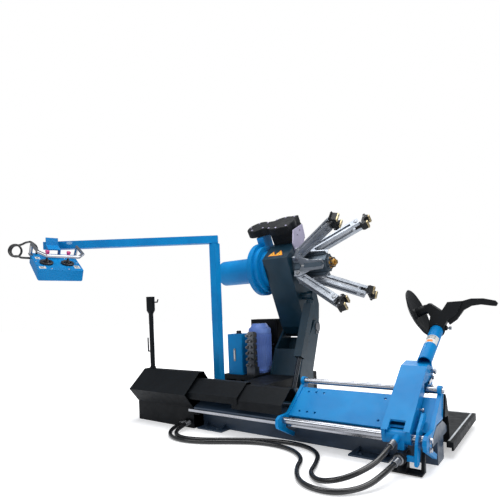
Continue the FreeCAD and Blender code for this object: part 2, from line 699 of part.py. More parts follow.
def set_jaw(shape, angle):
    a = math.radians(ARM_ANGLE)
    local = placed(shape, shift(ARM_ROOT_X + JAW_PIN * math.cos(a), 0,
                                ARM_ROOT_R + JAW_PIN * math.sin(a)))
    return radial(local, angle)


def chuck_nose():
    y, z = CHUCK_Y, CHUCK_Z
    stem = cyl(v(-255, y, z), X, 20, 95)
    collar = cyl(v(-160, y, z), X, 30, 8)
    stub = bolt_head(v(-152, y, z), X, 18, 16)
    return fuse(stem, collar, stub)


# ---- tool arm ----------------------------------------------------------------------------
TOOL_YZ = [(-250, 200), (115, 469), (213, 486), (243, 440), (205, 320), (118, 320),
           (118, 386), (42, 386), (42, 333), (-152, 192), (-185, 200)]


def tube_placement():
    return FreeCAD.Placement(v(TUBE_X, TUBE_FOOT[0], TUBE_FOOT[1]),
                             FreeCAD.Rotation(X, TUBE_ANGLE - 90.0))


def tool_box():
    outer = yz_prism(TOOL_YZ, *TOOL_X)
    room = [(-225, 206), (112, 455), (203, 470), (228, 438), (196, 332), (130, 332),
            (130, 393), (36, 393), (36, 344), (-148, 209), (-185, 212)]
    outer = outer.cut(yz_prism(room, TOOL_X[0] + 8, TOOL_X[1] - 8))
    mouth_x = HOSE_HIGH[-1][0]
    outer = outer.cut(box(mouth_x - 38, mouth_x + 38, -262, -192, 190, 240))
    for x0 in (TOOL_X[0], TOOL_X[1] - 18):
        lug = fuse(yz_prism([(-239, 162), (-246, 201.5), (-155, 201.5), (-169, 162)], x0, x0 + 18),
                   cyl(v(x0, BAR_Y, BAR_Z), X, 36, 18))
        outer = outer.fuse(lug)
    return outer.removeSplitter().cut(cyl(v(TOOL_X[0] - 1, BAR_Y, BAR_Z), X, BAR_R + RUN, 142))


def tool_tube():
    tube = placed(cyl(v(0, 0, 0), Z, TUBE_R, TUBE_LEN).cut(cyl(v(0, 0, -1), Z, TUBE_R - 6,
                                                               TUBE_LEN - 24)),
                  tube_placement())
    return tube.cut(yz_prism(TOOL_YZ, *TOOL_X)).cut(box(500, 760, 0, 150, 300, 600))


def tool_pins():
    """Chrome pins standing out of the tool arm's right side."""
    x = TOOL_X[1]
    out = [fuse(cyl(v(x, 196, 432), X, 11, 18), cyl(v(x + 18, 196, 432), X, 16, 9)),
           fuse(cyl(v(x, -60, 268), X, 8, 14), cyl(v(x + 14, -60, 268), X, 12, 8)),
           fuse(cyl(v(x, 150, 352), X, 9, 12), cyl(v(x + 12, 150, 352), X, 13, 7))]
    return compound(out)


def tool_latch():
    """Chrome latch lever that hangs on the tool arm's right side above the rear bar."""
    x = TOOL_X[1] + 1.0
    plate = fuse(yz_prism([(190, 404), (202, 384), (132, 372), (118, 372), (118, 386)],
                          x, x + 8), cyl(v(x, 196, 396), X, 15, 8))
    return plate.cut(cyl(v(x - 1, 196, 396), X, 6 + RUN, 10))


def latch_stud():
    x = TOOL_X[1]
    return fuse(cyl(v(x, 196, 396), X, 6, 12), cyl(v(x + 9.5, 196, 396), X, 10, 5))


def slide_sleeve():
    """Shoe on the front bar between the tool arm's lugs, with its drop bracket."""
    body = cyl(v(TOOL_X[0] + 18 + GAP, BAR_Y, BAR_Z), X, 35, 140 - 36 - 2 * GAP)
    drop = yz_prism([(-236, 160), (-172, 145), (-182, 110), (-250, 110)], 640, 670)
    hose_end = ferrule(HOSE_HIGH[-1], HOSE_HIGH[-2], 50)
    shoe = fuse(body, drop, hose_end)
    return shoe.cut(cyl(v(500, BAR_Y, BAR_Z), X, BAR_R + RUN, 300))


def slide_bracket():
    """Curved blue side bracket of the slide, right of the tool arm."""
    x = 724.0
    outline = [(-128, 268), (-98, 262), (-92, 230), (-178, 205), (-166, 182), (-180, 126),
               (-214, 110), (-240, 52), (-272, 48), (-282, 62), (-258, 150), (-228, 200),
               (-170, 236)]
    plate = yz_prism(outline, x, x + 14)
    ring = cyl(v(x, BAR_Y, BAR_Z), X, 36, 14)
    tie = box(670, x, -270, -250, 68, 92)
    shape = fuse(plate, ring, tie)
    return shape.cut(cyl(v(x - 1, BAR_Y, BAR_Z), X, BAR_R + RUN, 16))


def feed_motor():
    """Black feed motor under the front bar, pointing at the operator, with its hose end."""
    x, z = 660.0, 80.0
    body = cyl(v(x, -296, z), Y, 30, 96)
    cap = cyl(v(x, -304, z), Y, 26, 8)
    neck = box(x - 20, x + 20, -250, -200, z, 110)
    hose_end = ferrule(HOSE_LOW[-1], HOSE_LOW[-2], 30)
    return fuse(body, cap, neck, hose_end).cut(box(670, 724, -270, -250, 68, 92))


def motor_plate():
    """Black foot plate that guards the feed motor, just off the floor."""
    flat = box(590, 756, -272, -198, 6, 14)
    rib = yz_prism([(-272, 14), (-198, 14), (-198, 50), (-230, 52)], 640, 680)
    wall = yz_prism([(-230, 14), (-198, 14), (-198, 100), (-206, 100)], 740, 756)
    return fuse(flat, rib, wall)


# ---- tool head ---------------------------------------------------------------------------
def head_block():
    """Black cast head: a socket on the tube with a wing for the disc and one for the hook."""
    place = tube_placement()
    socket = placed(cyl(v(0, 0, TUBE_LEN + 0.5), Z, 47, 62), place)
    web = xz_prism([(632, 668), (720, 668), (735, 700), (792, 742), (822, 818), (742, 815),
                    (706, 760), (636, 812), (606, 795), (640, 730)], 468, 532)
    post = xz_prism([(634, 640), (712, 640), (722, 700), (630, 700)], 472, 528)
    boss = cyl(v(700, INDEX_Y, INDEX_Z), X, 15, 28)
    tube_room = placed(cyl(v(0, 0, 200), Z, TUBE_R + 1.5, TUBE_LEN - 199.5), place)
    shape = fuse(socket, web, post, boss)
    return cut(shape, tube_room, cyl(v(690, INDEX_Y, INDEX_Z), X, INDEX_R + RUN, 40))


def disc_axis():
    a = math.radians(DISC_TILT)
    return v(math.cos(a), 0, math.sin(a))


def disc_placement():
    return FreeCAD.Placement(v(*DISC_C), FreeCAD.Rotation(Z, disc_axis()))


def disc_hub():
    hub = cyl(v(0, 0, 6), Z, 30, 64)
    pin = cyl(v(0, 0, -2), Z, 12, 20)
    return placed(fuse(hub, pin), disc_placement())


def bead_disc():
    """Dished bead roller: a shallow cone with a rounded rim, open on the hub's side."""
    profile = [(12 + RUN, -20), (40, -22), (100, -12), (DISC_R - 6, 8), (DISC_R, 16),
               (DISC_R - 4, 20), (100, 0), (40, -8), (34, 5), (12 + RUN, 5)]
    loop = [v(r, 0, h) for r, h in profile]
    face = Part.Face(Part.makePolygon(loop + [loop[0]]))
    return placed(face.revolve(v(0, 0, 0), Z, 360), disc_placement())


def hook():
    """Curved bead hook that reaches out to the right."""
    outer = [(735, 700), (792, 742), (822, 818), (868, 830), (930, 828), (992, 812),
             (1004, 796), (996, 780), (976, 782), (920, 792), (868, 786), (826, 762),
             (788, 706), (748, 676)]
    return xz_prism(outer, 484, 516).cut(head_block())


def index_pin():
    """Sprung pin that locks the head's turn, with its pull knob."""
    return fuse(cyl(v(692, INDEX_Y, INDEX_Z), X, INDEX_R, 46),
                cyl(v(738, INDEX_Y, INDEX_Z), X, 11, 14))


# ---- post, boom and console --------------------------------------------------------------
def square_tube(length, side=TUBE_SIDE, wall=4.0):
    """A square tube along +X, centred on the axis."""
    h = side / 2
    return box(0, length, -h, h, -h, h).cut(box(wall, length - wall, -h + wall, h - wall,
                                                -h + wall, h - wall))


def post():
    h = TUBE_SIDE / 2
    tube = box(POST_X - h, POST_X + h, POST_Y - h, POST_Y + h, 12, POST_TOP)
    tube = tube.cut(box(POST_X - h + 4, POST_X + h - 4, POST_Y - h + 4, POST_Y + h - 4, 13,
                        POST_TOP - 4))
    stub = cyl(v(POST_X, POST_Y, POST_TOP), Z, 18, 52)
    return fuse(tube, stub)


def post_foot():
    plate = box(POST_X - 80, POST_X + 80, 120, POST_Y + 80, 0, 12)
    ribs = [box(POST_X - 4, POST_X + 4, POST_Y + 30, POST_Y + 70, 12, 60),
            box(POST_X - 4, POST_X + 4, 150, POST_Y - 30, 12, 60)]
    return fuse(plate, *ribs)


def boom_placement():
    return FreeCAD.Placement(v(POST_X, POST_Y, POST_TOP + 1 + TUBE_SIDE / 2),
                             FreeCAD.Rotation(Z, BOOM_DIR))


def boom():
    tube = square_tube(BOOM_LEN).fuse(cyl(v(30, 0, -28), Z, 23, 56))
    tube = placed(tube, shift(-30, 0, 0), boom_placement())
    hole = cyl(v(POST_X, POST_Y, POST_TOP), Z, 18 + RUN, 54)
    stud = fuse(cyl(v(TURN_AT, 0, 30), Z, TURN_R, 12), cyl(v(TURN_AT, 0, 39.5), Z, 20, 7))
    return tube.cut(hole).fuse(placed(stud, boom_placement()))


def console_placement():
    rotation = FreeCAD.Rotation(Z, CONSOLE_YAW).multiply(FreeCAD.Rotation(X, CONSOLE_PITCH))
    return FreeCAD.Placement(v(*CONSOLE_O), rotation)


def console_box():
    w, d, h = CONSOLE_W, CONSOLE_D, CONSOLE_H
    shell = box(0, w, 0, d, -h, 0)
    low = [e for e in shell.Edges if (abs(e.CenterOfMass.z + h / 2) < 1) or
           (abs(e.CenterOfMass.z + h) < 1 and abs(e.CenterOfMass.y - d / 2) < 1)]
    shell = shell.makeFillet(14, low)
    shell = shell.cut(box(4, w - 4, 4, d - 4, -h + 4, -4))
    for x in JOY_X:
        well = cyl(v(x, JOY_Y, -20), Z, 32, 18).cut(cyl(v(x, JOY_Y, -21), Z, 24, 30))
        pin = cyl(v(x - 26, JOY_Y, JOY_PIN_Z), X, 3, 52)
        shell = fuse(shell.cut(cyl(v(x, JOY_Y, -20), Z, 24, 30)), well, pin)
    return placed(shell, console_placement())


def console_hanger():
    """Bent strap from the console's top up to the pivot near the end of the boom."""
    top = POST_TOP + 1 + TUBE_SIDE + GAP
    at = boom_placement().multVec(v(TURN_AT, 0, 0))
    place = console_placement()
    left, right, t = 108.0, 196.0, 8.0
    deck = box(left, right, CONSOLE_D - 82, CONSOLE_D + 10, 62, 62 + t)
    cheeks = [box(left, left + 6, CONSOLE_D - 82, CONSOLE_D - 18, 0, 62),
              box(right - 6, right, CONSOLE_D - 82, CONSOLE_D - 18, 0, 62)]
    corners = [place.multVec(v(x, y, 66)) for x, y in ((left, CONSOLE_D + 2),
                                                       (right, CONSOLE_D + 2),
                                                       (right, CONSOLE_D + 10),
                                                       (left, CONSOLE_D + 10))]
    riser = xy_prism([(c.x, c.y) for c in corners], corners[0].z - 6, top + t)
    disc = cyl(v(at.x, at.y, top), Z, 44, t)
    side = (corners[1] - corners[0]).normalize() * 40
    tongue = xy_prism([(corners[0].x, corners[0].y), (corners[1].x, corners[1].y),
                       (at.x + side.x, at.y + side.y), (at.x - side.x, at.y - side.y)],
                      top, top + t)
    shape = fuse(placed(fuse(deck, *cheeks), place), riser, tongue, disc)
    return shape.cut(cyl(v(at.x, at.y, top - 5), Z, TURN_R + RUN, 40))


def guard_rail():
    """Chrome guard tube round the front of the console."""
    r, w, d = 11.5, CONSOLE_W, CONSOLE_D
    path = [v(-2, d - 40, r), v(-2, d - 60, 92), v(14, 92, 96), v(58, 26, 96), v(w - 40, 26, 96),
            v(w + 6, 92, 96), v(w + 2, d - 60, 92), v(w + 2, d - 40, r)]
    shape = rod(path, r)
    feet = [box(-14, 12, d - 60, d - 20, 0, 8), box(w - 12, w + 14, d - 60, d - 20, 0, 8)]
    return placed(fuse(shape, *feet), console_placement())


def console_cables():
    """Control cable from the console's side, twice round its hanging coil and back to the top."""
    place = console_placement()
    across = v(math.cos(math.radians(36)), math.sin(math.radians(36)), 0)
    back = Z.cross(across)
    centre = v(*CABLE_COIL)
    route = [place.multVec(v(0, CONSOLE_D - 30, -30)), place.multVec(v(-60, CONSOLE_D - 30, -30))]
    for k in range(11):
        a = math.radians(-60 - 60 * k)
        route.append(centre + across * (CABLE_TURN * math.cos(a)) + Z * (CABLE_TURN * math.sin(a))
                     + back * (4.2 * k))
    route += [centre + across * 66 + Z * 66 + back * 50, place.multVec(v(4, CONSOLE_D + 14, 84)),
              place.multVec(v(44, CONSOLE_D - 16, 62)), place.multVec(v(44, CONSOLE_D - 16, 0))]
    return hose([(p.x, p.y, p.z) for p in route], CABLE_R)


def joystick_collars():
    out = []
    for x in JOY_X:
        ring = cyl(v(x, JOY_Y, 0), Z, 46, 12).cut(cyl(v(x, JOY_Y, -1), Z, 26, 14))
        out.append(placed(ring, console_placement()))
    return compound(out)


def stick(x):
    """Black stick with its ball, shaft and gaiter cap, on its pivot pin."""
    ball = Part.makeSphere(9, v(x, JOY_Y, JOY_PIN_Z))
    shaft = cyl(v(x, JOY_Y, JOY_PIN_Z), Z, 6, 78)
    skirt = Part.makeCone(17, 7, 22, v(x, JOY_Y, 3), Z)
    bore = cyl(v(x - 12, JOY_Y, JOY_PIN_Z), X, 3 + RUN, 24)
    return placed(fuse(ball, shaft, skirt).cut(bore), console_placement())


def stick_tip(x):
    return placed(Part.makeCone(9, 14, 26, v(x, JOY_Y, 68), Z), console_placement())


# ---- hydraulic power unit ----------------------------------------------------------------
TRAY_WINDOWS = ((-1105, -975), (-945, -815))


def tray():
    shell = box(-1130, -790, 560, 1090, 0, 262)
    shell = shell.cut(box(-1122, -798, 568, 1082, 8, 254))
    for x0, x1 in TRAY_WINDOWS:
        shell = shell.cut(box(x0, x1, 559, 569, 40, 225))
    strap = box(-790, BEAM_X[0], 700, 760, 0, 8)
    return shell.fuse(strap)


def tray_braces():
    """Crossed straps in the open front of the tray."""
    out = []
    for x0, x1 in TRAY_WINDOWS:
        rising = rod([v(x0, 563, 42), v(x1, 563, 223)], 4)
        falling = rod([v(x0, 563, 223), v(x1, 563, 42)], 4)
        out.append(fuse(rising, falling).common(box(x0, x1, 559, 567, 40, 225)))
    return compound(out)


def tank():
    shell = box(-1090, -930, 590, 725, 262, 612)
    upright = [e for e in shell.Edges if abs(e.CenterOfMass.z - 437) < 1]
    return shell.makeFillet(10, upright).cut(box(-1085, -935, 595, 720, 267, 607))


def pump_motor():
    body = cyl(v(-905, 830, 280), Z, 98, 360)
    base = box(-995, -815, 740, 920, 262, 280)
    dome = Part.makeCone(98, 62, 55, v(-905, 830, 640), Z)
    return fuse(base, body, dome)


def valve_stack():
    base = box(-885, -800, 590, 655, 262, 330)
    shape = base
    for k in range(6):
        z = 330 + 50 * k
        shape = shape.fuse(box(-878, -812, 596, 650, z, z + 42))
        shape = shape.fuse(box(-870, -820, 600, 646, z + 42, z + 50))
    return shape.removeSplitter()


def valve_solenoids():
    out = []
    for k in range(6):
        z = 351 + 50 * k
        out.append(cyl(v(-858, 560, z), Y, 13, 36))
        out.append(cyl(v(-830, 568, z), Y, 11, 28))
    return compound(out)


def cabinet():
    shell = box(-1100, -805, 960, 1080, 262, 728)
    edges = [e for e in shell.Edges if abs(e.CenterOfMass.z - 495) < 1]
    return shell.makeFillet(12, edges).cut(box(-1096, -809, 964, 1076, 266, 724))


# ---- hoses -------------------------------------------------------------------------------
def hose(points, radius=HOSE_R):
    """A round hose along straight runs joined by tangent arcs; prints its length and radii."""
    pts = [v(*p) for p in points]
    start = pts[0]
    edges, radii = [], []
    for before, at, after in zip(pts, pts[1:], pts[2:]):
        back, ahead = before - at, after - at
        reach = 0.45 * min(back.Length, ahead.Length)
        p = at + v(*back).normalize() * reach
        q = at + v(*ahead).normalize() * reach
        half_turn = (math.pi - back.getAngle(ahead)) / 2
        bend = reach / math.tan(half_turn)
        inwards = ((p - at) + (q - at)).normalize()
        middle = at + inwards * (bend / math.cos(half_turn) - bend)
        edges.append(Part.LineSegment(start, p).toShape())
        edges.append(Part.Arc(p, middle, q).toShape())
        radii.append(round(bend))
        start = q
    edges.append(Part.LineSegment(start, pts[-1]).toShape())
    path = Part.Wire(edges)
    length = path.Length
    ring = Part.Wire(Part.makeCircle(radius, pts[0], pts[1] - pts[0]))
    tube = path.makePipeShell([ring], True, False)
    expected = math.pi * radius ** 2 * length
    print("hose length %.0f, volume / expected %.4f, radii %s"
          % (length, tube.Volume / expected, radii))
    return tube


def merged(*groups):
    """One node from several bodies that share a finish and touch only face to face."""
    flat = []
    for g in groups:
        flat += g if isinstance(g, list) else g.Solids
    return compound(flat)


NODES = {
    "bed_beam": merged(bed_beam(), anchor_brackets()),
    "bed_rail": bed_rail(),
    "housing": housing(),
    "tool_post": merged(tool_post(), post_hooks()),
    "cross_beam": merged(cross_beam(), beam_cover()),
    "column": merged(column_plate(BEAM_X[0] - COL_T), column_plate(BEAM_X[1]), column_web()),
    "pivot_pin": merged(pivot_pin(), pin_keeper()),
    "lift_foot": lift_foot(),
    "post": merged(post(), post_foot()),
    "pump_tray": merged(tray(), tray_braces()),
    "oil_tank": tank(),
    "pump_motor": pump_motor(),
    "valve_stack": merged(valve_stack(), valve_solenoids()),
    "switch_cabinet": cabinet(),
    "cover_middle": cover(MID_YZ, *MID_X),
    "cover_lower": cover(LOW_YZ, *LOW_X),
    "end_plates": merged(end_plate(CAR_X0), end_plate(CAR_X1 - END_T)),
    "slope_plate": merged(slope_plate(), plate_stays()),
    "guide_bars": merged(bar(BAR_Y, BAR_Z, BAR_R), bar(REAR_Y, REAR_Z, REAR_R), end_bolts()),
    "platform": platform(),
    "platform_hanger": platform_hanger(),
    "lift_rod": lift_rod(),
    "lift_barrel": merged(lift_barrel(), barrel_guard()),
    "chuck_arm": merged(chuck_arm(), lift_eye_pin()),
    "gear_case": merged(gear_case(), gear_bolts()),
    "opening_cylinder": opening_cylinder(),
    "drive_cover": drive_cover(),
    "drive_motor": drive_motor(),
    "motor_bracket": merged(motor_bracket(), cover_screws()),
    "chuck_body": merged(cut(chuck_body(), *chuck_lugs()), chuck_wedges()),
    "chuck_lugs": compound(chuck_lugs()),
    "chuck_pins": chuck_pins(),
    "chuck_nose": chuck_nose(),
    "slide_shoe": merged(slide_sleeve(), slide_bracket()),
    "feed_motor": merged(feed_motor(), motor_plate()),
    "tool_box": tool_box(),
    "tool_tube": tool_tube(),
    "tool_pins": merged(tool_pins(), latch_stud()),
    "tool_latch": tool_latch(),
    "head_block": merged(head_block(), disc_hub()),
    "bead_hook": hook(),
    "bead_disc": bead_disc(),
    "index_pin": index_pin(),
    "boom": boom(),
    "console": merged(console_box(), console_hanger()),
    "guard_rail": guard_rail(),
    "joystick_collars": joystick_collars(),
    "console_cables": console_cables(),
    "hose_low": hose(HOSE_LOW),
    "hose_high": hose(HOSE_HIGH),
}
for number, angle in enumerate(CHUCK_ANGLES, 1):
    NODES["claw_arm_%d" % number] = set_arm(claw_arm(), angle)
    NODES["jaw_%d" % number] = set_jaw(fuse(jaw(), jaw_pads()), angle)
for side, x in zip(("left", "right"), JOY_X):
    NODES["joystick_" + side] = fuse(stick(x), stick_tip(x))

for name, shape in NODES.items():
    save(name, shape)
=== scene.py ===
import math

import bmesh
import bpy
from mathutils import Matrix, Vector


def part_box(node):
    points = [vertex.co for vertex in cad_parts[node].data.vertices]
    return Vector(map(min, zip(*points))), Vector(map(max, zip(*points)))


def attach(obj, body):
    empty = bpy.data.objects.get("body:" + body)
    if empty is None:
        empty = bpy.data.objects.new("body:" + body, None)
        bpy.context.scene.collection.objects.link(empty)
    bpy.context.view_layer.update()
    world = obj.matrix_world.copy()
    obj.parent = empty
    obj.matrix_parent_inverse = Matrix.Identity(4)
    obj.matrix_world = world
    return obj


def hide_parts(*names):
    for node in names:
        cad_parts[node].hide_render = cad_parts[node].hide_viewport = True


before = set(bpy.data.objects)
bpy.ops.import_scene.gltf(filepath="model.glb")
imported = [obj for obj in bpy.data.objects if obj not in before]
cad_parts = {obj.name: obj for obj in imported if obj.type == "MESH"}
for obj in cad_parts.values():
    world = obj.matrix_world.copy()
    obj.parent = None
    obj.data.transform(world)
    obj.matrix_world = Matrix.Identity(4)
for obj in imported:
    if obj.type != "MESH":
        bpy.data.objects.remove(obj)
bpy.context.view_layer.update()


# ---- materials -----------------------------------------------------------------------------
def screen(red, green, blue):
    """Linear colour from 8-bit screen values."""
    return tuple(((c / 255 + 0.055) / 1.055) ** 2.4 for c in (red, green, blue)) + (1.0,)


def noise(tree, where, scale, detail=4.0, twist=0.0):
    """A noise over the place given by where, from 0 to 1."""
    node = tree.nodes.new("ShaderNodeTexNoise")
    node.inputs["Scale"].default_value = scale
    node.inputs["Detail"].default_value = detail
    node.inputs["Distortion"].default_value = twist
    tree.links.new(where, node.inputs["Vector"])
    return node.outputs["Fac"]


def spread(tree, value, low, high, to_low=0.0, to_high=1.0):
    """The value, with its range low..high stretched to to_low..to_high."""
    node = tree.nodes.new("ShaderNodeMapRange")
    for name, number in (("From Min", low), ("From Max", high),
                         ("To Min", to_low), ("To Max", to_high)):
        node.inputs[name].default_value = number
    tree.links.new(value, node.inputs["Value"])
    return node.outputs["Result"]


def product(tree, a, b):
    """The two outputs multiplied."""
    node = tree.nodes.new("ShaderNodeMath")
    node.operation = "MULTIPLY"
    tree.links.new(a, node.inputs[0])
    tree.links.new(b, node.inputs[1])
    return node.outputs[0]


def mixed(tree, factor, a, b):
    """Colour a where factor is 0 and b where it is 1; each is a colour or an output."""
    node = tree.nodes.new("ShaderNodeMix")
    node.data_type = "RGBA"
    tree.links.new(factor, node.inputs[0])
    for value, socket in ((a, node.inputs[6]), (b, node.inputs[7])):
        if isinstance(value, tuple):
            socket.default_value = value
        else:
            tree.links.new(value, socket)
    return node.outputs[2]


ON_FLAT, ON_EDGE = 0.985, 0.86         # how far the rounded normal agrees with the true one
CHIP_SCALE = 90.0                      # of the noise that breaks up the worn edges


def edge_mask(tree, width):
    """Rounded normals near edges, and how near an edge the surface is."""
    bevel = tree.nodes.new("ShaderNodeBevel")
    bevel.samples = 4
    bevel.inputs["Radius"].default_value = width
    true = tree.nodes.new("ShaderNodeNewGeometry")
    dot = tree.nodes.new("ShaderNodeVectorMath")
    dot.operation = "DOT_PRODUCT"
    tree.links.new(bevel.outputs["Normal"], dot.inputs[0])
    tree.links.new(true.outputs["Normal"], dot.inputs[1])
    return bevel.outputs["Normal"], spread(tree, dot.outputs["Value"], ON_FLAT, ON_EDGE)


def surface(name, colour, shade, rough, metal=0.0, coat=0.0, patch=5.0, grain=600.0,
            relief=0.00005, wear=None, wear_amount=0.5, edge=0.002, rough_swing=0.08, shine=0.5):
    """A finish with clouded colour, uneven gloss, a fine relief, soft edges and worn edges.

    The colour clouds over into the shade in patches; wear is the colour under the worn edges,
    edge their width, and relief the height of the grain, in metres.
    """
    material = bpy.data.materials.new(name)
    material.use_nodes = True
    tree = material.node_tree
    bsdf = tree.nodes["Principled BSDF"]
    bsdf.inputs["Metallic"].default_value = metal
    bsdf.inputs["Coat Weight"].default_value = coat
    bsdf.inputs["Coat Roughness"].default_value = 0.1
    bsdf.inputs["Specular IOR Level"].default_value = shine
    where = tree.nodes.new("ShaderNodeTexCoord").outputs["Object"]
    clouds = noise(tree, where, patch, 5.0, 0.4)
    tint = mixed(tree, spread(tree, clouds, 0.35, 0.65), colour, shade)
    normals, near_edge = edge_mask(tree, edge)
    if wear:
        chips = spread(tree, noise(tree, where, CHIP_SCALE, 6.0, 0.3), 0.46, 0.60)
        worn = spread(tree, product(tree, near_edge, chips), 0.0, 1.0, 0.0, wear_amount)
        tint = mixed(tree, worn, tint, wear)
    tree.links.new(tint, bsdf.inputs["Base Color"])
    smudges = noise(tree, where, patch * 4, 6.0, 0.8)
    gloss = spread(tree, smudges, 0.3, 0.7, rough - rough_swing, rough + rough_swing)
    tree.links.new(gloss, bsdf.inputs["Roughness"])
    fine = noise(tree, where, grain, 3.0)
    bump = tree.nodes.new("ShaderNodeBump")
    bump.inputs["Distance"].default_value = relief
    tree.links.new(fine, bump.inputs["Height"])
    tree.links.new(normals, bump.inputs["Normal"])
    tree.links.new(bump.outputs["Normal"], bsdf.inputs["Normal"])
    return material


BARE = screen(120, 124, 128)
FINISH = {
    "machine_blue": surface("machine_blue", screen(2, 134, 201), screen(2, 121, 188), 0.4,
                            coat=0.06, wear=screen(110, 170, 215), wear_amount=0.35, shine=0.16),
    "arm_navy": surface("arm_navy", screen(21, 51, 67), screen(16, 43, 57), 0.36, coat=0.15,
                        wear=screen(70, 90, 108), wear_amount=0.5, shine=0.35),
    "bed_paint": surface("bed_paint", screen(60, 79, 101), screen(48, 65, 85), 0.38, coat=0.15,
                         wear=BARE, wear_amount=0.6, shine=0.4),
    "black_sheet": surface("black_sheet", screen(17, 21, 25), screen(12, 15, 19), 0.55,
                           grain=900.0, relief=0.00012, wear=screen(70, 76, 82),
                           wear_amount=0.45, shine=0.16),
    "motor_blue": surface("motor_blue", screen(122, 156, 232), screen(98, 130, 206), 0.42,
                          grain=500.0, relief=0.00008, wear=screen(130, 140, 180)),
    "chrome": surface("chrome", screen(176, 178, 184), screen(158, 161, 168), 0.17, metal=1.0,
                      patch=9.0, relief=0.000004, edge=0.001, rough_swing=0.05),
    "aluminium": surface("aluminium", screen(168, 174, 182), screen(142, 148, 157), 0.42, metal=0.8,
                         grain=300.0, relief=0.000015, wear=screen(215, 217, 220), wear_amount=0.3),
    "steel": surface("steel", screen(150, 152, 156), screen(120, 122, 126), 0.34, metal=1.0,
                     grain=500.0, relief=0.00001, edge=0.001),
    "cast_black": surface("cast_black", screen(20, 23, 26), screen(14, 16, 19), 0.45, grain=260.0,
                          relief=0.0002, wear=screen(120, 122, 126), wear_amount=0.5, shine=0.22),
    "brass": surface("brass", screen(205, 165, 92), screen(170, 130, 66), 0.3, metal=1.0,
                     grain=400.0, relief=0.00003, edge=0.001),
    "plastic_black": surface("plastic_black", screen(28, 29, 31), screen(22, 23, 25), 0.36,
                             grain=1200.0, relief=0.00008),
    "hose_rubber": surface("hose_rubber", screen(30, 31, 33), screen(18, 19, 21), 0.26, coat=0.3,
                           grain=700.0, relief=0.00012, edge=0.0005),
}
BRACKET_PALE = surface("bracket_pale", screen(196, 190, 214), screen(172, 168, 196), 0.4, metal=0.5,
                       wear=BARE, wear_amount=0.4)
SHIM_PALE = surface("shim_pale", screen(206, 190, 150), screen(176, 158, 118), 0.36, metal=0.7,
                    grain=300.0, relief=0.00001, edge=0.001)
CHUCK_GREY = surface("chuck_grey", screen(78, 92, 104), screen(58, 70, 82), 0.34, metal=0.55,
                     grain=420.0, relief=0.00006, wear=screen(170, 175, 180), wear_amount=0.6)
ROD_DARK = surface("rod_dark", screen(52, 56, 62), screen(38, 42, 48), 0.3, metal=0.8,
                   relief=0.000004, edge=0.001)
SPECIAL = {                            # nodes that look different from their slot
    "motor_bracket": BRACKET_PALE,
    "chuck_body": CHUCK_GREY,
    "lift_rod": ROD_DARK,
    "oil_tank": FINISH["machine_blue"],
    "switch_cabinet": FINISH["black_sheet"],
}

for name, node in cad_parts.items():
    for holder in node.material_slots:
        slot = holder.material.name.split(".")[0]
        holder.material = SPECIAL.get(name) or FINISH.get(slot) or FINISH["steel"]


def foil(name, colour, shade, rough=0.35):
    """The finish of a thin printed label."""
    return surface(name, colour, shade, rough, edge=0.0003)


STICKER_WHITE = foil("sticker_white", screen(232, 233, 230), screen(214, 216, 214))
STICKER_ORANGE = foil("sticker_orange", screen(240, 140, 40), screen(226, 120, 30))
STICKER_YELLOW = foil("sticker_yellow", screen(250, 186, 60), screen(240, 166, 44))
BADGE_PALE = foil("badge_pale", screen(150, 190, 220), screen(120, 170, 210))
STICKER_INK = foil("sticker_ink", screen(40, 42, 46), screen(30, 32, 36), 0.4)
LINE_WHITE = surface("line_white", screen(214, 218, 220), screen(180, 186, 190), 0.5,
                     patch=22.0, wear=screen(60, 62, 66), wear_amount=0.7)
GRIP_PINK = surface("grip_pink", screen(214, 60, 130), screen(190, 44, 112), 0.28,
                    coat=0.4, edge=0.0005)


# ---- mesh helpers --------------------------------------------------------------------------
SHARP_ANGLE = math.radians(35)         # edges that turn by more than this stay crisp


def axes(origin, x, y, z):
    """The matrix of a local frame given by its origin and its three directions."""
    columns = [Vector(c).normalized() for c in (x, y, z)]
    turn = Matrix((columns[0], columns[1], columns[2])).transposed().to_4x4()
    return Matrix.Translation(Vector(origin)) @ turn


def facing(origin, z):
    """A local frame at origin with its Z along the direction z."""
    turn = Vector(z).to_track_quat("Z", "Y").to_matrix().to_4x4()
    return Matrix.Translation(Vector(origin)) @ turn


def rounded(width, depth, radius, steps=5):
    """The outline of a rectangle with round corners, about the origin."""
    points = []
    for quarter, (sx, sy) in enumerate(((1, 1), (-1, 1), (-1, -1), (1, -1))):
        for step in range(steps + 1):
            a = math.radians(90 * (quarter + step / steps))
            points.append((sx * (width / 2 - radius) + radius * math.cos(a),
                           sy * (depth / 2 - radius) + radius * math.sin(a)))
    return points


def polygon(sides, radius):
    """The corners of a regular polygon about the origin."""
    return [(radius * math.cos(2 * math.pi * k / sides),
             radius * math.sin(2 * math.pi * k / sides)) for k in range(sides)]


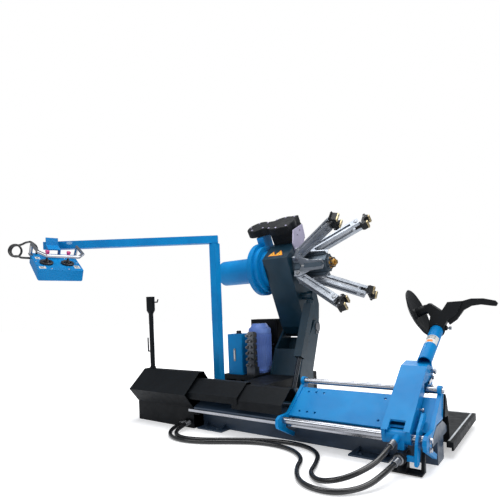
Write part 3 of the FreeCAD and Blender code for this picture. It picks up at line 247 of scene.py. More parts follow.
class Piece:
    """One object of the model, built up from solids that are each placed by a matrix."""

    def __init__(self):
        self.mesh = bmesh.new()

    def prism(self, outline, low, high, place=Matrix()):
        """An outline in X and Y, made solid from low to high along Z."""
        bottom = [self.mesh.verts.new(place @ Vector((x, y, low))) for x, y in outline]
        top = [self.mesh.verts.new(place @ Vector((x, y, high))) for x, y in outline]
        self.mesh.faces.new(bottom[::-1])
        self.mesh.faces.new(top)
        for k in range(len(outline)):
            n = (k + 1) % len(outline)
            self.mesh.faces.new((bottom[k], bottom[n], top[n], top[k]))
        return self

    def lathe(self, profile, place=Matrix(), steps=40):
        """Turns (radius, height) points about Z; a profile with no point on the axis is a ring."""
        ring = all(r > 0 for r, z in profile)
        rows = []
        for r, z in profile:
            count = steps if r > 0 else 1
            rows.append([self.mesh.verts.new(place @ Vector((
                r * math.cos(2 * math.pi * k / steps), r * math.sin(2 * math.pi * k / steps), z)))
                for k in range(count)])
        pairs = list(zip(rows, rows[1:])) + ([(rows[-1], rows[0])] if ring else [])
        for low, high in pairs:
            for k in range(steps):
                n = (k + 1) % steps
                corners = [low[k % len(low)], low[n % len(low)],
                           high[n % len(high)], high[k % len(high)]]
                self.mesh.faces.new(list(dict.fromkeys(corners)))
        return self

    def bolt(self, place, across, height, socket=True):
        """A cap screw's head with its hexagon socket, or a hexagon head with a washer."""
        if socket:
            r = across / 2
            self.lathe([(0, 0), (r, 0), (r, height - r * 0.15), (r * 0.85, height),
                        (r * 0.5, height), (r * 0.5, height * 0.5), (0, height * 0.5)], place, 24)
        else:
            rim = across * 0.72
            self.lathe([(0, 0), (rim, 0), (rim, height * 0.2), (0, height * 0.2)], place, 28)
            self.prism(polygon(6, across * 0.577), height * 0.2, height * 0.92, place)
            self.prism(polygon(24, across * 0.47), height * 0.92, height, place)
        return self

    def put(self, name, body, finish, slot, bevel=0.0):
        """Makes the object, which moves with the body; the slot is not used."""
        bmesh.ops.recalc_face_normals(self.mesh, faces=self.mesh.faces)
        data = bpy.data.meshes.new(name)
        self.mesh.to_mesh(data)
        self.mesh.free()
        for face in data.polygons:
            face.use_smooth = True
        data.set_sharp_from_angle(angle=SHARP_ANGLE)
        data.materials.append(finish)
        obj = bpy.data.objects.new(name, data)
        bpy.context.scene.collection.objects.link(obj)
        if bevel:
            modifier = obj.modifiers.new("soft_edges", "BEVEL")
            modifier.width = bevel
            modifier.segments = 2
            modifier.limit_method = "ANGLE"
        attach(obj, body)
        return obj


# ---- hoses ---------------------------------------------------------------------------------
HOSE_R = 0.013
FERRULE_R = 0.0165
CRIMP_LENGTH = 0.042
HOSE_LOW = [(-0.869, -0.178, 0.046), (-0.878, -0.285, 0.028), (-0.812, -0.388, 0.014),
            (-0.680, -0.440, 0.014), (-0.520, -0.410, 0.014), (-0.350, -0.310, 0.014),
            (-0.170, -0.226, 0.014), (0.020, -0.232, 0.014), (0.165, -0.335, 0.014),
            (0.215, -0.500, 0.014), (0.320, -0.640, 0.014), (0.480, -0.660, 0.014),
            (0.590, -0.560, 0.022), (0.644, -0.436, 0.060), (0.660, -0.313, 0.080)]
HOSE_HIGH = [(-0.824, -0.178, 0.046), (-0.834, -0.276, 0.028), (-0.780, -0.362, 0.014),
             (-0.672, -0.396, 0.014), (-0.530, -0.360, 0.014), (-0.380, -0.276, 0.014),
             (-0.220, -0.196, 0.014), (-0.060, -0.146, 0.014), (0.090, -0.156, 0.014),
             (0.210, -0.240, 0.014), (0.268, -0.385, 0.014), (0.298, -0.510, 0.014),
             (0.388, -0.585, 0.018), (0.508, -0.568, 0.050), (0.596, -0.462, 0.092),
             (0.623, -0.366, 0.128), (0.631, -0.277, 0.152)]


def route_curve(name, route, thickness):
    """A smooth curve with the route's points as its control points."""
    data = bpy.data.curves.new(name, "CURVE")
    data.dimensions = "3D"
    data.resolution_u = 20
    data.bevel_depth = thickness
    data.bevel_resolution = 6
    spline = data.splines.new("NURBS")
    spline.points.add(len(route) - 1)
    for point, place in zip(spline.points, route):
        point.co = (*place, 1.0)
    spline.order_u = 3
    spline.use_endpoint_u = True
    return bpy.data.objects.new(name, data)


def crimp(name, end, towards):
    """A pressed steel sleeve on a hose's end, with four grooves round it."""
    place = facing(end, Vector(towards) - Vector(end))
    r, length = FERRULE_R, CRIMP_LENGTH
    profile = [(HOSE_R + 0.0002, 0.0), (r, 0.0)]
    grooves = 4
    for k in range(grooves):
        z = length * (0.25 + 0.16 * k)
        profile += [(r, z - 0.002), (r - 0.0012, z), (r - 0.0012, z + 0.0015), (r, z + 0.0035)]
    profile += [(r, length - 0.002), (r - 0.0014, length), (HOSE_R + 0.0002, length)]
    piece = Piece().lathe(profile, place, 36)
    return piece.put(name, "base", FINISH["steel"], "steel")


def hose(name, node, route):
    """One hydraulic hose from the bed's left end to the tool slide, with its two sleeves."""
    curve = route_curve(name, route, HOSE_R)
    curve.data.materials.append(FINISH["hose_rubber"])
    bpy.context.scene.collection.objects.link(curve)
    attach(curve, "base")
    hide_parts(node)
    sleeves = [crimp(name + "_crimp_near", route[0], route[1]),
               crimp(name + "_crimp_far", route[-1], route[-2])]


hose("pressure_hose_low", "hose_low", HOSE_LOW)
hose("pressure_hose_high", "hose_high", HOSE_HIGH)


# ---- local frames shared with the CAD --------------------------------------------------------
CHUCK_Y, CHUCK_Z = 0.848, 1.175
CHUCK_REST = 8.0                       # degrees that the chuck stands turned
CHUCK_ANGLES = [CHUCK_REST + corner for corner in (45.0, 135.0, 225.0, 315.0)]
ROOT_X, ROOT_R = -0.430, 0.130         # the chuck arms' root pivots
ARM_ANGLE = math.radians(34.5)
ARM_LENGTH, JAW_PIN = 0.485, 0.460
ARM_HALF_WIDTH, ARM_HALF_DEPTH = 0.043, 0.031
JAW_HALF = 0.034
BLOCK_R = 0.092                        # the outer face of the blocks on the chuck


def radial(angle):
    """From the plane of +X and +Z about the chuck's axis to the arm at this angle."""
    return (Matrix.Translation((0, CHUCK_Y, CHUCK_Z))
            @ Matrix.Rotation(math.radians(angle - 90.0), 4, "X"))


CONSOLE_CORNER = (-1.657, -0.779, 1.155)
CONSOLE_YAW, CONSOLE_PITCH = math.radians(73.6), math.radians(29.7)
CONSOLE = (Matrix.Translation(CONSOLE_CORNER) @ Matrix.Rotation(CONSOLE_YAW, 4, "Z")
           @ Matrix.Rotation(CONSOLE_PITCH, 4, "X"))        # Z is out of the console's top
STICK_X = {"left": 0.080, "right": 0.226}
STICK_Y = 0.124
SIDEWAYS = axes((0, 0, 0), (1, 0, 0), (0, 0, 1), (0, -1, 0))   # draws in X and Z, thick along -Y


# ---- chuck ---------------------------------------------------------------------------------
SHIM_PROUD = 0.0006                    # the shims stand out this far past a jaw's cheeks
SHIM_OUTLINES = [[(0.0895, 0.0492), (0.0916, 0.0688), (0.1010, 0.0688), (0.0988, 0.0482)],
                 [(0.0895, -0.0148), (0.0916, 0.0048), (0.1010, 0.0048), (0.0978, -0.0188)]]
JAW_FRONT_SCREWS = [(0.101, 0.0585), (0.0995, -0.007)]
JAW_FRONT_SIDES = (-0.018, 0.018)
JAW_CHEEK_SCREWS = [(0.050, -0.012), (0.054, 0.056)]
WASHER = [(0.0082, 0), (0.017, 0), (0.017, 0.0025), (0.0155, 0.0035), (0.0082, 0.0035)]
FITTING_CAP = [(0, 0.010), (0.0055, 0.010), (0.0055, 0.022), (0.004, 0.025), (0, 0.025)]
PLATE_X, PLATE_R, PLATE_TOP = -0.412, 0.0721, 0.0755    # the end plates on the chuck's flats
PLATE_SCREW_Y = (-0.020, 0.020)
BLOCK_SCREW_X, BLOCK_SCREW_Y = (-0.260, -0.362), (-0.024, 0.024)
FITTINGS = 6
FITTING_X, FITTING_R = -0.187, 0.040   # the ring of pipe fittings round the chuck's nose


def jaw_details(number, angle):
    """Pale gripping shims on a jaw's two steps, and the cap screws on its front and cheeks."""
    pin = Matrix.Translation((ROOT_X + JAW_PIN * math.cos(ARM_ANGLE), 0,
                              ROOT_R + JAW_PIN * math.sin(ARM_ANGLE)))
    place = radial(angle) @ pin @ SIDEWAYS
    shims = Piece()
    reach = JAW_HALF + SHIM_PROUD
    for outline in SHIM_OUTLINES:
        shims.prism(outline, -reach, reach, place)
    shims.put("jaw_shims_%d" % number, "jaw_%d" % number, SHIM_PALE, "brass", 0.0012)
    screws = Piece()
    for side in JAW_FRONT_SIDES:
        for x, z in JAW_FRONT_SCREWS:
            front = Matrix.Translation((x, z, side)) @ Matrix.Rotation(math.pi / 2, 4, "Y")
            screws.bolt(place @ front, 0.010, 0.002)
    for side in (-1, 1):
        for x, z in JAW_CHEEK_SCREWS:
            cheek = Matrix.Translation((x, z, side * JAW_HALF))
            flip = Matrix.Rotation(0 if side > 0 else math.pi, 4, "X")
            screws.bolt(place @ cheek @ flip, 0.014, 0.004)
    screws.put("jaw_screws_%d" % number, "jaw_%d" % number, FINISH["steel"], "steel")


def arm_details(number, angle):
    """Washers at the jaw pin, screws at both ends and wear strips along a chuck arm."""
    along = Matrix.Translation((ROOT_X, 0, ROOT_R)) @ Matrix.Rotation(-ARM_ANGLE, 4, "Y")
    place = radial(angle) @ along
    steel = Piece()
    for side in (-1, 1):
        outward = Matrix.Rotation(-side * math.pi / 2, 4, "X")
        flank = side * ARM_HALF_WIDTH
        steel.lathe(WASHER, place @ Matrix.Translation((JAW_PIN, flank, 0)) @ outward)
        steel.bolt(place @ Matrix.Translation((0.030, flank, 0)) @ outward, 0.012, 0.006)
        for x in (ARM_LENGTH - 0.059, ARM_LENGTH - 0.035):
            top = Matrix.Translation((x, side * 0.028, ARM_HALF_DEPTH))
            steel.bolt(place @ top, 0.012, 0.004)
    steel.put("arm_bolts_%d" % number, "claw_%d" % number, FINISH["steel"], "steel")
    rails = Piece()
    for side in (-1, 1):
        for x in (0.064, ARM_LENGTH - 0.079):
            spot = Matrix.Translation((x, 0, side * (ARM_HALF_DEPTH - 0.006)))
            rails.prism(rounded(0.006, 0.025, 0.002), -0.005, 0.005, place @ spot)
        rail = Matrix.Translation((ARM_LENGTH / 2 - 0.008, 0, side * (ARM_HALF_DEPTH - 0.0118)))
        rails.prism(rounded(ARM_LENGTH - 0.16, 0.012, 0.005), -0.0015, 0.0015, place @ rail)
    rails.put("arm_wear_strips_%d" % number, "claw_%d" % number, FINISH["steel"], "steel", 0.0004)


def chuck_details():
    """White end plates and screws on the chuck's flats, and the pipe fittings round its nose."""
    plates, blocks = Piece(), Piece()
    for angle in CHUCK_ANGLES:
        flat = radial(angle - 45.0)
        plates.prism(rounded(0.030, 0.056, 0.003), PLATE_R, PLATE_TOP,
                     flat @ Matrix.Translation((PLATE_X, 0, 0)))
        for y in PLATE_SCREW_Y:
            plates.bolt(flat @ Matrix.Translation((PLATE_X, y, PLATE_TOP)), 0.009, 0.003)
        for x in BLOCK_SCREW_X:
            for y in BLOCK_SCREW_Y:
                blocks.bolt(flat @ Matrix.Translation((x, y, BLOCK_R)), 0.010, 0.004)
    plates.put("chuck_end_plates", "chuck", STICKER_WHITE, "aluminium", 0.0005)
    blocks.put("chuck_block_screws", "chuck", FINISH["steel"], "steel")
    fittings, caps = Piece(), Piece()
    for k in range(FITTINGS):
        a = math.radians(360 / FITTINGS * k + CHUCK_REST)
        spot = Matrix.Translation((FITTING_X, CHUCK_Y + FITTING_R * math.cos(a),
                                   CHUCK_Z + FITTING_R * math.sin(a)))
        place = spot @ Matrix.Rotation(math.pi / 2, 4, "Y")
        fittings.bolt(place, 0.014, 0.010, socket=False)
        caps.lathe(FITTING_CAP, place, 20)
    fittings.put("union_fittings", "chuck", FINISH["brass"], "brass", 0.0004)
    caps.put("union_caps", "chuck", FINISH["plastic_black"], "plastic_black")


for number, angle in enumerate(CHUCK_ANGLES, 1):
    jaw_details(number, angle)
    arm_details(number, angle)
chuck_details()


# ---- lifting arm ---------------------------------------------------------------------------
SLOPE_FOOT, SLOPE_HEAD = (0.672, 1.236), (0.815, 1.364)       # the arm's sloping face (Y, Z)
SIGN_UP = 0.066                        # from the face's foot to the middle of the signs
SIGNS = [(-0.668, 0.074), (-0.598, 0.086)]                    # X and the length of a side
TRIANGLE_HEIGHT = 0.866                # of an equilateral triangle whose side is 1
RIM_TOP, FACE_TOP, MARK_TOP = 0.0004, 0.0008, 0.0010          # the signs' layers
FACE_SHARE = 0.82                      # of the rim's triangle that the face covers
GEAR_BACK_X = -0.8692                  # the gear case's back face
GEAR_SCREWS, GEAR_SCREW_R = 12, 0.216
SHEET_YZ = [(1.062, 0.440), (1.120, 0.546), (1.111, 0.551), (1.052, 0.444)]
SHEET_X = (-0.7499, -0.4901)           # between the column's plates


def warning_signs():
    """Two warning triangles on the arm's slope: yellow with an orange rim and a dark mark."""
    up = Vector((0, SLOPE_HEAD[0] - SLOPE_FOOT[0], SLOPE_HEAD[1] - SLOPE_FOOT[1])).normalized()
    out = Vector((1, 0, 0)).cross(up)
    plate, rim, mark = Piece(), Piece(), Piece()
    for x, side in SIGNS:
        foot = Vector((x, *SLOPE_FOOT)) + up * SIGN_UP
        place = axes(foot, (1, 0, 0), up, out)
        height = side * TRIANGLE_HEIGHT
        outer = [(-side / 2, -height / 3), (side / 2, -height / 3), (0, height * 2 / 3)]
        rim.prism(outer, 0.0, RIM_TOP, place)
        inner = [(a * FACE_SHARE, b * FACE_SHARE) for a, b in outer]
        plate.prism(inner, RIM_TOP, FACE_TOP, place)
        mark.prism(rounded(side * 0.07, side * 0.24, side * 0.02), FACE_TOP, MARK_TOP,
                   place @ Matrix.Translation((0, height * 0.10, 0)))
        mark.prism(polygon(16, side * 0.04), FACE_TOP, MARK_TOP,
                   place @ Matrix.Translation((0, -height * 0.14, 0)))
    rim.put("warning_rims", "arm", STICKER_ORANGE, "brass")
    plate.put("warning_faces", "arm", STICKER_YELLOW, "brass")
    mark.put("warning_marks", "arm", STICKER_INK, "plastic_black")


def gear_bolts():
    """Steel cap screws over the gear case's bolt ring."""
    piece = Piece()
    for k in range(GEAR_SCREWS):
        a = 2 * math.pi * k / GEAR_SCREWS
        spot = Matrix.Translation((GEAR_BACK_X, CHUCK_Y + GEAR_SCREW_R * math.cos(a),
                                   CHUCK_Z + GEAR_SCREW_R * math.sin(a)))
        piece.bolt(spot @ Matrix.Rotation(-math.pi / 2, 4, "Y"), 0.013, 0.006)
    piece.put("gear_case_screws", "arm", FINISH["steel"], "steel")


def column_sheet():
    """A bent sheet between the column's two plates, below the arm's pivot."""
    place = axes((0, 0, 0), (0, 1, 0), (0, 0, 1), (1, 0, 0))
    Piece().prism(SHEET_YZ, *SHEET_X, place).put("column_sheet", "base", FINISH["arm_navy"],
                                                 "arm_navy", 0.001)


warning_signs()
gear_bolts()
column_sheet()


# ---- console -------------------------------------------------------------------------------
GAITER_FOLDS = 5
GAITER_FOOT, GAITER_R = 0.0075, 0.0172 # small enough to tilt inside the collar with its stick
BOOM_ROOT = (-0.930, 0.280, 1.404)     # on the post's axis, at the boom's mid height
BOOM_YAW = math.radians(216.3)
BOOM_HALF = 0.0300                     # half the boom tube's width
BADGE_ALONG, BADGE_HALF = 1.150, (0.024, 0.0125)
KNOB = [(0, 0.0675), (0.0085, 0.0675), (0.0105, 0.0700), (0.0150, 0.0900), (0.0152, 0.0940),
        (0.0132, 0.0972), (0.0075, 0.0988), (0, 0.0990)]
COLLAR_LIP = [(0.0265, 0.0118), (0.0300, 0.0142), (0.0390, 0.0142), (0.0440, 0.0120),
              (0.0440, 0.0110), (0.0265, 0.0110)]
LABELS = [("label_left", 0.038, 0.040, 0.044, 0.040),         # name, X, Y, width and height
          ("label_right", 0.280, 0.066, 0.040, 0.052),
          ("label_back", 0.036, 0.216, 0.032, 0.040)]
LABEL_BARS = [(0, 0.28, 0.7, 0.12), (-0.1, 0.02, 0.5, 0.12), (0.05, -0.25, 0.6, 0.12)]
DOME_SCREW = [(0, 0), (0.0052, 0), (0.0048, 0.0018), (0.0025, 0.0028), (0.0022, 0.0012),
              (0, 0.0012)]
DOME_SCREWS_AT = [(0.096, 0.022), (0.212, 0.022), (0.100, 0.216), (0.226, 0.222),
                  (0.014, 0.150), (0.300, 0.150)]           # on the console's top


def sticker(name, body, place, width, height, lines):
    """A pale label with a few dark bars of print."""
    Piece().prism(rounded(width, height, 0.003), 0.0, 0.0005, place).put(
        name, body, STICKER_WHITE, "plastic_black")
    print_bars = Piece()
    for x, y, w, h in lines:
        bar = place @ Matrix.Translation((x * width, y * height, 0))
        print_bars.prism(rounded(w * width, h * height, 0.0008), 0.0005, 0.0007, bar)
    print_bars.put(name + "_print", body, STICKER_INK, "plastic_black")


def console_labels():
    """Three labels on the console's top."""
    for name, x, y, width, height in LABELS:
        place = CONSOLE @ Matrix.Translation((x, y, 0.0))
        sticker(name, "console", place, width, height, LABEL_BARS)


def console_screws():
    """Small dome screws on the console's top."""
    piece = Piece()
    for x, y in DOME_SCREWS_AT:
        piece.lathe(DOME_SCREW, CONSOLE @ Matrix.Translation((x, y, 0)), 24)
    piece.put("console_screws", "console", FINISH["chrome"], "chrome")


def stick_dress(side):
    """A ribbed gaiter and a pink knob on one joystick, and the lip of its collar."""
    base = CONSOLE @ Matrix.Translation((STICK_X[side], STICK_Y, 0))
    profile = [(0.0062, GAITER_FOOT)]
    for k in range(GAITER_FOLDS):
        r, z = GAITER_R - 0.0018 * k, GAITER_FOOT + 0.0046 * k
        profile += [(r - 0.0022, z), (r, z + 0.0016), (r, z + 0.0028), (r - 0.0022, z + 0.0044)]
    profile += [(0.0085, 0.0315), (0.0085, 0.0350), (0.0062, 0.0350)]
    Piece().lathe(profile, base, 44).put("gaiter_" + side, "stick_" + side,
                                         FINISH["plastic_black"], "plastic_black")
    Piece().lathe(KNOB, base, 44).put("knob_" + side, "stick_" + side, GRIP_PINK, "plastic_black")
    Piece().lathe(COLLAR_LIP, base, 56).put("collar_lip_" + side, "console",
                                            FINISH["plastic_black"], "plastic_black")


def boom_badge():
    """A small pale oval sticker on the boom's side."""
    way = Vector((math.cos(BOOM_YAW), math.sin(BOOM_YAW), 0))
    out = Vector((-way.y, way.x, 0))
    centre = Vector(BOOM_ROOT) + way * BADGE_ALONG + out * BOOM_HALF
    place = axes(centre, -way, (0, 0, 1), out)
    oval = [(BADGE_HALF[0] * x, BADGE_HALF[1] * y) for x, y in polygon(40, 1.0)]
    Piece().prism(oval, 0.0, 0.0006, place).put("boom_badge", "boom", BADGE_PALE, "machine_blue")


console_labels()
console_screws()
for side in STICK_X:
    stick_dress(side)
boom_badge()


# ---- power unit ----------------------------------------------------------------------------
MOTOR_X, MOTOR_Y, MOTOR_R = -0.905, 0.830, 0.098
MOTOR_FINS, FIN_Z = 36, (0.315, 0.600)
FIN = [(MOTOR_R - 0.001, -0.0015), (MOTOR_R + 0.0048, -0.001), (MOTOR_R + 0.0048, 0.001),
       (MOTOR_R - 0.001, 0.0015)]
COWL_RIM = [(0.0985, 0.604), (0.1015, 0.606), (0.1015, 0.640), (0.094, 0.656), (0.0985, 0.640)]
GRILLE_RINGS, GRILLE_R, GRILLE_PITCH = 5, 0.016, 0.009
GRILLE_Z = (0.6950, 0.6965)
TERMINAL_BOX_Z = (0.430, 0.520)
VALVES, VALVE_PITCH, VALVE_Z = 6, 0.050, 0.351          # the stack's valves, from the lowest up
SOLENOID_ENDS = [(-0.858, 0.560, 0.017), (-0.830, 0.568, 0.014)]        # X, Y and the nut's size
PLUG_X, PLUG_Y = -0.8118, 0.625
GAUGE_UP = 0.17                        # from the tank's foot to the gauge's middle


def motor_details():
    """Cooling fins, the cowl's rim, the fan grille and the terminal box of the pump motor."""
    place = Matrix.Translation((MOTOR_X, MOTOR_Y, 0))
    blue = FINISH["motor_blue"]
    fins = Piece()
    for k in range(MOTOR_FINS):
        turn = Matrix.Rotation(2 * math.pi * k / MOTOR_FINS, 4, "Z")
        fins.prism(FIN, *FIN_Z, place @ turn)
    fins.put("motor_fins", "base", blue, "motor_blue")
    Piece().lathe(COWL_RIM, place, 72).put("motor_cowl_rim", "base", blue, "motor_blue")
    vents = Piece()
    low, high = GRILLE_Z
    for k in range(GRILLE_RINGS):
        r = GRILLE_R + GRILLE_PITCH * k
        vents.lathe([(r, low), (r + 0.004, low), (r + 0.004, high), (r, high)], place, 48)
    vents.put("motor_fan_grille", "base", FINISH["plastic_black"], "plastic_black")
    box = Piece().prism(rounded(0.070, 0.044, 0.006), *TERMINAL_BOX_Z,
                        Matrix.Translation((MOTOR_X, MOTOR_Y - MOTOR_R, 0)))
    box.put("motor_terminal_box", "base", blue, "motor_blue", 0.002)


def valve_details():
    """Hexagon nuts on the solenoids and a small brass plug on each valve's side."""
    nuts, plugs = Piece(), Piece()
    for k in range(VALVES):
        z = VALVE_Z + VALVE_PITCH * k
        for x, y, size in SOLENOID_ENDS:
            nuts.bolt(facing((x, y, z), (0, -1, 0)), size, 0.007, socket=False)
        plugs.lathe([(0, 0), (0.004, 0), (0.004, 0.003), (0, 0.003)],
                    facing((PLUG_X, PLUG_Y, z - 0.001), (1, 0, 0)), 20)
    nuts.put("valve_nuts", "base", FINISH["steel"], "steel", 0.0003)
    plugs.put("valve_plugs", "base", FINISH["brass"], "brass")


def tank_details():
    """The oil tank's filler cap and level gauge."""
    low, high = (Vector(c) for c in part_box("oil_tank"))
    cap = Piece()
    centre = ((low.x + high.x) / 2, (low.y + high.y) / 2, high.z)
    cap.lathe([(0, 0), (0.026, 0), (0.026, 0.004), (0.022, 0.006), (0.022, 0.024), (0.019, 0.028),
               (0, 0.028)], Matrix.Translation(centre), 40)
    cap.put("tank_filler_cap", "base", FINISH["plastic_black"], "plastic_black")
    gauge = Piece()
    face = facing(((low.x + high.x) / 2, low.y, low.z + GAUGE_UP), (0, -1, 0))
    gauge.prism(rounded(0.022, 0.110, 0.009), 0.0, 0.006, face)
    gauge.put("tank_level_gauge", "base", FINISH["steel"], "steel", 0.001)
    glass = Piece().prism(rounded(0.010, 0.080, 0.004), 0.006, 0.0072, face)
    glass.put("tank_level_glass", "base", STICKER_WHITE, "steel")


def cabinet_details():
    """The switch cabinet's door and its lock."""
    low, high = (Vector(c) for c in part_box("switch_cabinet"))
    middle = (low + high) / 2
    face = facing((middle.x, low.y, middle.z), (0, -1, 0))
    width, height = high.x - low.x, high.z - low.z
    door = Piece().prism(rounded(width - 0.030, height - 0.030, 0.006), 0.0, 0.004, face)
    door.put("cabinet_door", "base", FINISH["black_sheet"], "black_sheet", 0.001)
    lock = Piece()
    lock.lathe([(0, 0.004), (0.012, 0.004), (0.012, 0.009), (0.004, 0.010), (0, 0.010)],
               face @ Matrix.Translation((width * 0.38, 0, 0)), 28)
    lock.put("cabinet_lock", "base", FINISH["steel"], "steel")


motor_details()
valve_details()
tank_details()
cabinet_details()


# ---- carriage and slide --------------------------------------------------------------------
LINE_INSET, LINE_WIDTH = 0.020, 0.010  # the painted lines on the platform
FEED_FACE = (0.660, -0.304, 0.080)     # the middle of the feed motor's end
COVER = [(0, 0), (0.0245, 0), (0.0245, 0.002), (0.020, 0.0035), (0.011, 0.0035),
         (0.009, 0.006), (0, 0.006)]
COVER_SCREWS, COVER_SCREW_R, COVER_TOP = 4, 0.0165, 0.0035
TUBE_FOOT, TUBE_TILT = (0.672, 0.170, 0.484), math.radians(63.5)        # the tool tube's axis
TUBE_R, LABEL_THICK = 0.0381, 0.0005
LABEL_MIDDLE = math.radians(-90.0)     # the label's side of the tube; the angles below are halves
LABEL_HALF, DOT_HALF, BAR_HALF = (math.radians(angle) for angle in (75, 24, 40))
LABEL_ALONG, DOT_ALONG = (0.156, 0.236), (0.161, 0.183)
BARS_ALONG, BAR_HEIGHT = (0.198, 0.208, 0.218, 0.227), 0.003


def platform_lines():
    """White edge lines painted on the platform."""
    low, high = (Vector(c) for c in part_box("platform"))
    top = high.z
    piece = Piece()
    x0, x1 = low.x + LINE_INSET, high.x - LINE_INSET
    y0, y1 = low.y + LINE_INSET, high.y - LINE_INSET / 2
    spans = [((x1 - LINE_WIDTH, y0), (x1, y1)), ((x0, y1 - LINE_WIDTH), (x1 - LINE_WIDTH, y1))]
    for (ax, ay), (bx, by) in spans:
        piece.prism([(ax, ay), (bx, ay), (bx, by), (ax, by)], top, top + 0.0006)
    piece.put("platform_lines", "carriage", LINE_WHITE, "black_sheet")


def feed_motor_cover():
    """The bright end cover of the feed motor with its four cap screws."""
    face = facing(FEED_FACE, (0, -1, 0))
    piece = Piece().lathe(COVER, face, 44)
    for k in range(COVER_SCREWS):
        a = math.radians(45 + 360 / COVER_SCREWS * k)
        spot = (COVER_SCREW_R * math.cos(a), COVER_SCREW_R * math.sin(a), COVER_TOP)
        piece.bolt(face @ Matrix.Translation(spot), 0.009, 0.005)
    piece.put("feed_motor_cover", "slide", FINISH["steel"], "steel")


def strip(half, layer, steps=22):
    """The outline of one layer of the label, bent round the tube's front."""
    inside, outside = TUBE_R + layer * LABEL_THICK, TUBE_R + (layer + 1) * LABEL_THICK
    angles = [LABEL_MIDDLE + half * k / steps for k in range(-steps, steps + 1)]
    return ([(outside * math.cos(a), outside * math.sin(a)) for a in angles]
            + [(inside * math.cos(a), inside * math.sin(a)) for a in angles[::-1]])


def tube_label():
    """The white wrap label on the tool tube, with an orange dot and dark print."""
    along = Vector((0, math.sin(TUBE_TILT), math.cos(TUBE_TILT)))
    across = Vector((1, 0, 0))
    place = axes(TUBE_FOOT, across, along.cross(across), along)
    white = Piece().prism(strip(LABEL_HALF, 0), *LABEL_ALONG, place)
    white.put("tube_label", "tool_arm", STICKER_WHITE, "plastic_black")
    dot = Piece().prism(strip(DOT_HALF, 1), *DOT_ALONG, place)
    dot.put("tube_dot", "tool_arm", STICKER_ORANGE, "plastic_black")
    bars = Piece()
    for z in BARS_ALONG:
        bars.prism(strip(BAR_HALF, 1), z, z + BAR_HEIGHT, place)
    bars.put("tube_label_print", "tool_arm", STICKER_INK, "plastic_black")


platform_lines()
feed_motor_cover()
tube_label()


# ---- floor, light and camera ---------------------------------------------------------------
FLOOR_HALF = 30.0
WHITE = (1.0, 1.0, 1.0, 1.0)
GLOW_STARTS, GLOW_FULL = 1.4, 5.0      # distances from the origin
GLOW_LEAST = 0.42                      # the floor's own light under the machine
GLOW_ON_MACHINE = 0.4                  # the share of that light that falls on other surfaces
SKY_STRENGTH = 0.32
SKY_TINT = (0.93, 0.96, 1.0, 1.0)
LIGHTS = [                             # name, place, target, size and power
    ("key_light", (-1.8, -3.6, 3.6), (-0.2, 0, 0.6), (2.6, 2.0), 48),
    ("side_light", (3.6, -1.0, 2.6), (0, 0.2, 0.6), (2.4, 2.4), 40),
    ("top_light", (0.0, 0.6, 4.2), (0, 0.4, 0), (4.0, 3.0), 150),
    ("back_light", (-1.0, 4.2, 2.8), (-0.4, 0.4, 0.6), (3.0, 2.0), 45),
]
CAMERA_AT = (1.30, -2.30, 0.80)
CAMERA_TURN = math.radians(36.38)      # of its level right-hand direction, from X
CAMERA_ROLL = math.atan(0.0383)
CAMERA_LENS, CAMERA_SHIFT = 30.51, 0.124


def floor():
    """A pale floor that glows by its own emission: faintly under the machine, fading up to pure
    white away from it.
    """
    data = bpy.data.meshes.new("floor")
    half = FLOOR_HALF
    data.from_pydata([(-half, -half, 0), (half, -half, 0), (half, half, 0), (-half, half, 0)], [],
                     [(0, 1, 2, 3)])
    paint = surface("floor_pale", screen(248, 248, 249), screen(245, 245, 247), 0.8,
                    patch=0.6, edge=0.0005, shine=0.2)
    tree = paint.node_tree
    where = tree.nodes.new("ShaderNodeNewGeometry").outputs["Position"]
    away = tree.nodes.new("ShaderNodeVectorMath")
    away.operation = "LENGTH"
    tree.links.new(where, away.inputs[0])
    seen = tree.nodes.new("ShaderNodeLightPath").outputs["Is Camera Ray"]
    # glow painted into the floor: emission that grows with distance, and is weaker for the light it
    # casts on the machine than for the camera
    fade = spread(tree, away.outputs["Value"], GLOW_STARTS, GLOW_FULL, GLOW_LEAST, 1.0)
    floor_glow_strength = product(tree, fade, spread(tree, seen, 0.0, 1.0, GLOW_ON_MACHINE, 1.0))
    bsdf = tree.nodes["Principled BSDF"]
    bsdf.inputs["Emission Color"].default_value = WHITE
    tree.links.new(floor_glow_strength, bsdf.inputs["Emission Strength"])
    data.materials.append(paint)
    obj = bpy.data.objects.new("floor", data)
    bpy.context.scene.collection.objects.link(obj)


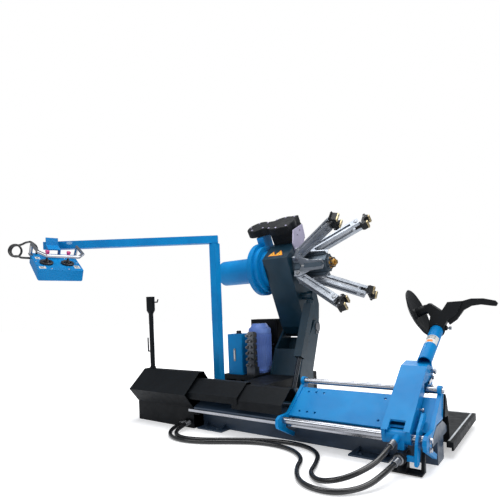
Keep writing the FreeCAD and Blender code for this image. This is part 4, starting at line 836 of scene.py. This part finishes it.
def soft_light(name, place, target, size, power):
    """A rectangular area light that shines from its place to the target."""
    data = bpy.data.lights.new(name, "AREA")
    data.shape = "RECTANGLE"
    data.size, data.size_y = size
    data.energy = power
    obj = bpy.data.objects.new(name, data)
    obj.matrix_world = facing(place, Vector(place) - Vector(target))
    bpy.context.scene.collection.objects.link(obj)


def tones():
    """Plain display tones, so that the colours are those given above."""
    bpy.context.scene.view_settings.view_transform = "Standard"


def sky():
    """A white backdrop that lights the machine only softly."""
    world = bpy.data.worlds.new("studio")
    world.use_nodes = True
    nodes, links = world.node_tree.nodes, world.node_tree.links
    soft = nodes["Background"]
    soft.inputs["Color"].default_value = SKY_TINT
    soft.inputs["Strength"].default_value = SKY_STRENGTH
    white = nodes.new("ShaderNodeBackground")
    white.inputs["Color"].default_value = WHITE
    seen = nodes.new("ShaderNodeLightPath")
    choice = nodes.new("ShaderNodeMixShader")
    links.new(seen.outputs["Is Camera Ray"], choice.inputs["Fac"])
    links.new(soft.outputs["Background"], choice.inputs[1])
    links.new(white.outputs["Background"], choice.inputs[2])
    links.new(choice.outputs["Shader"], nodes["World Output"].inputs["Surface"])
    bpy.context.scene.world = world


def camera():
    """The camera: level but for a slight roll, with its view shifted up."""
    data = bpy.data.cameras.new("camera")
    data.sensor_width = 36.0
    data.lens = CAMERA_LENS
    data.shift_y = CAMERA_SHIFT
    obj = bpy.data.objects.new("camera", data)
    right = Vector((math.cos(CAMERA_TURN), math.sin(CAMERA_TURN), 0))
    ahead = Vector((-math.sin(CAMERA_TURN), math.cos(CAMERA_TURN), 0))
    up = Vector((0, 0, 1))
    tilted_right = right * math.cos(CAMERA_ROLL) - up * math.sin(CAMERA_ROLL)
    tilted_up = right * math.sin(CAMERA_ROLL) + up * math.cos(CAMERA_ROLL)
    obj.matrix_world = axes(CAMERA_AT, tilted_right, tilted_up, -ahead)
    bpy.context.scene.collection.objects.link(obj)
    bpy.context.scene.camera = obj


tones()
floor()
sky()
for light in LIGHTS:
    soft_light(*light)
camera()
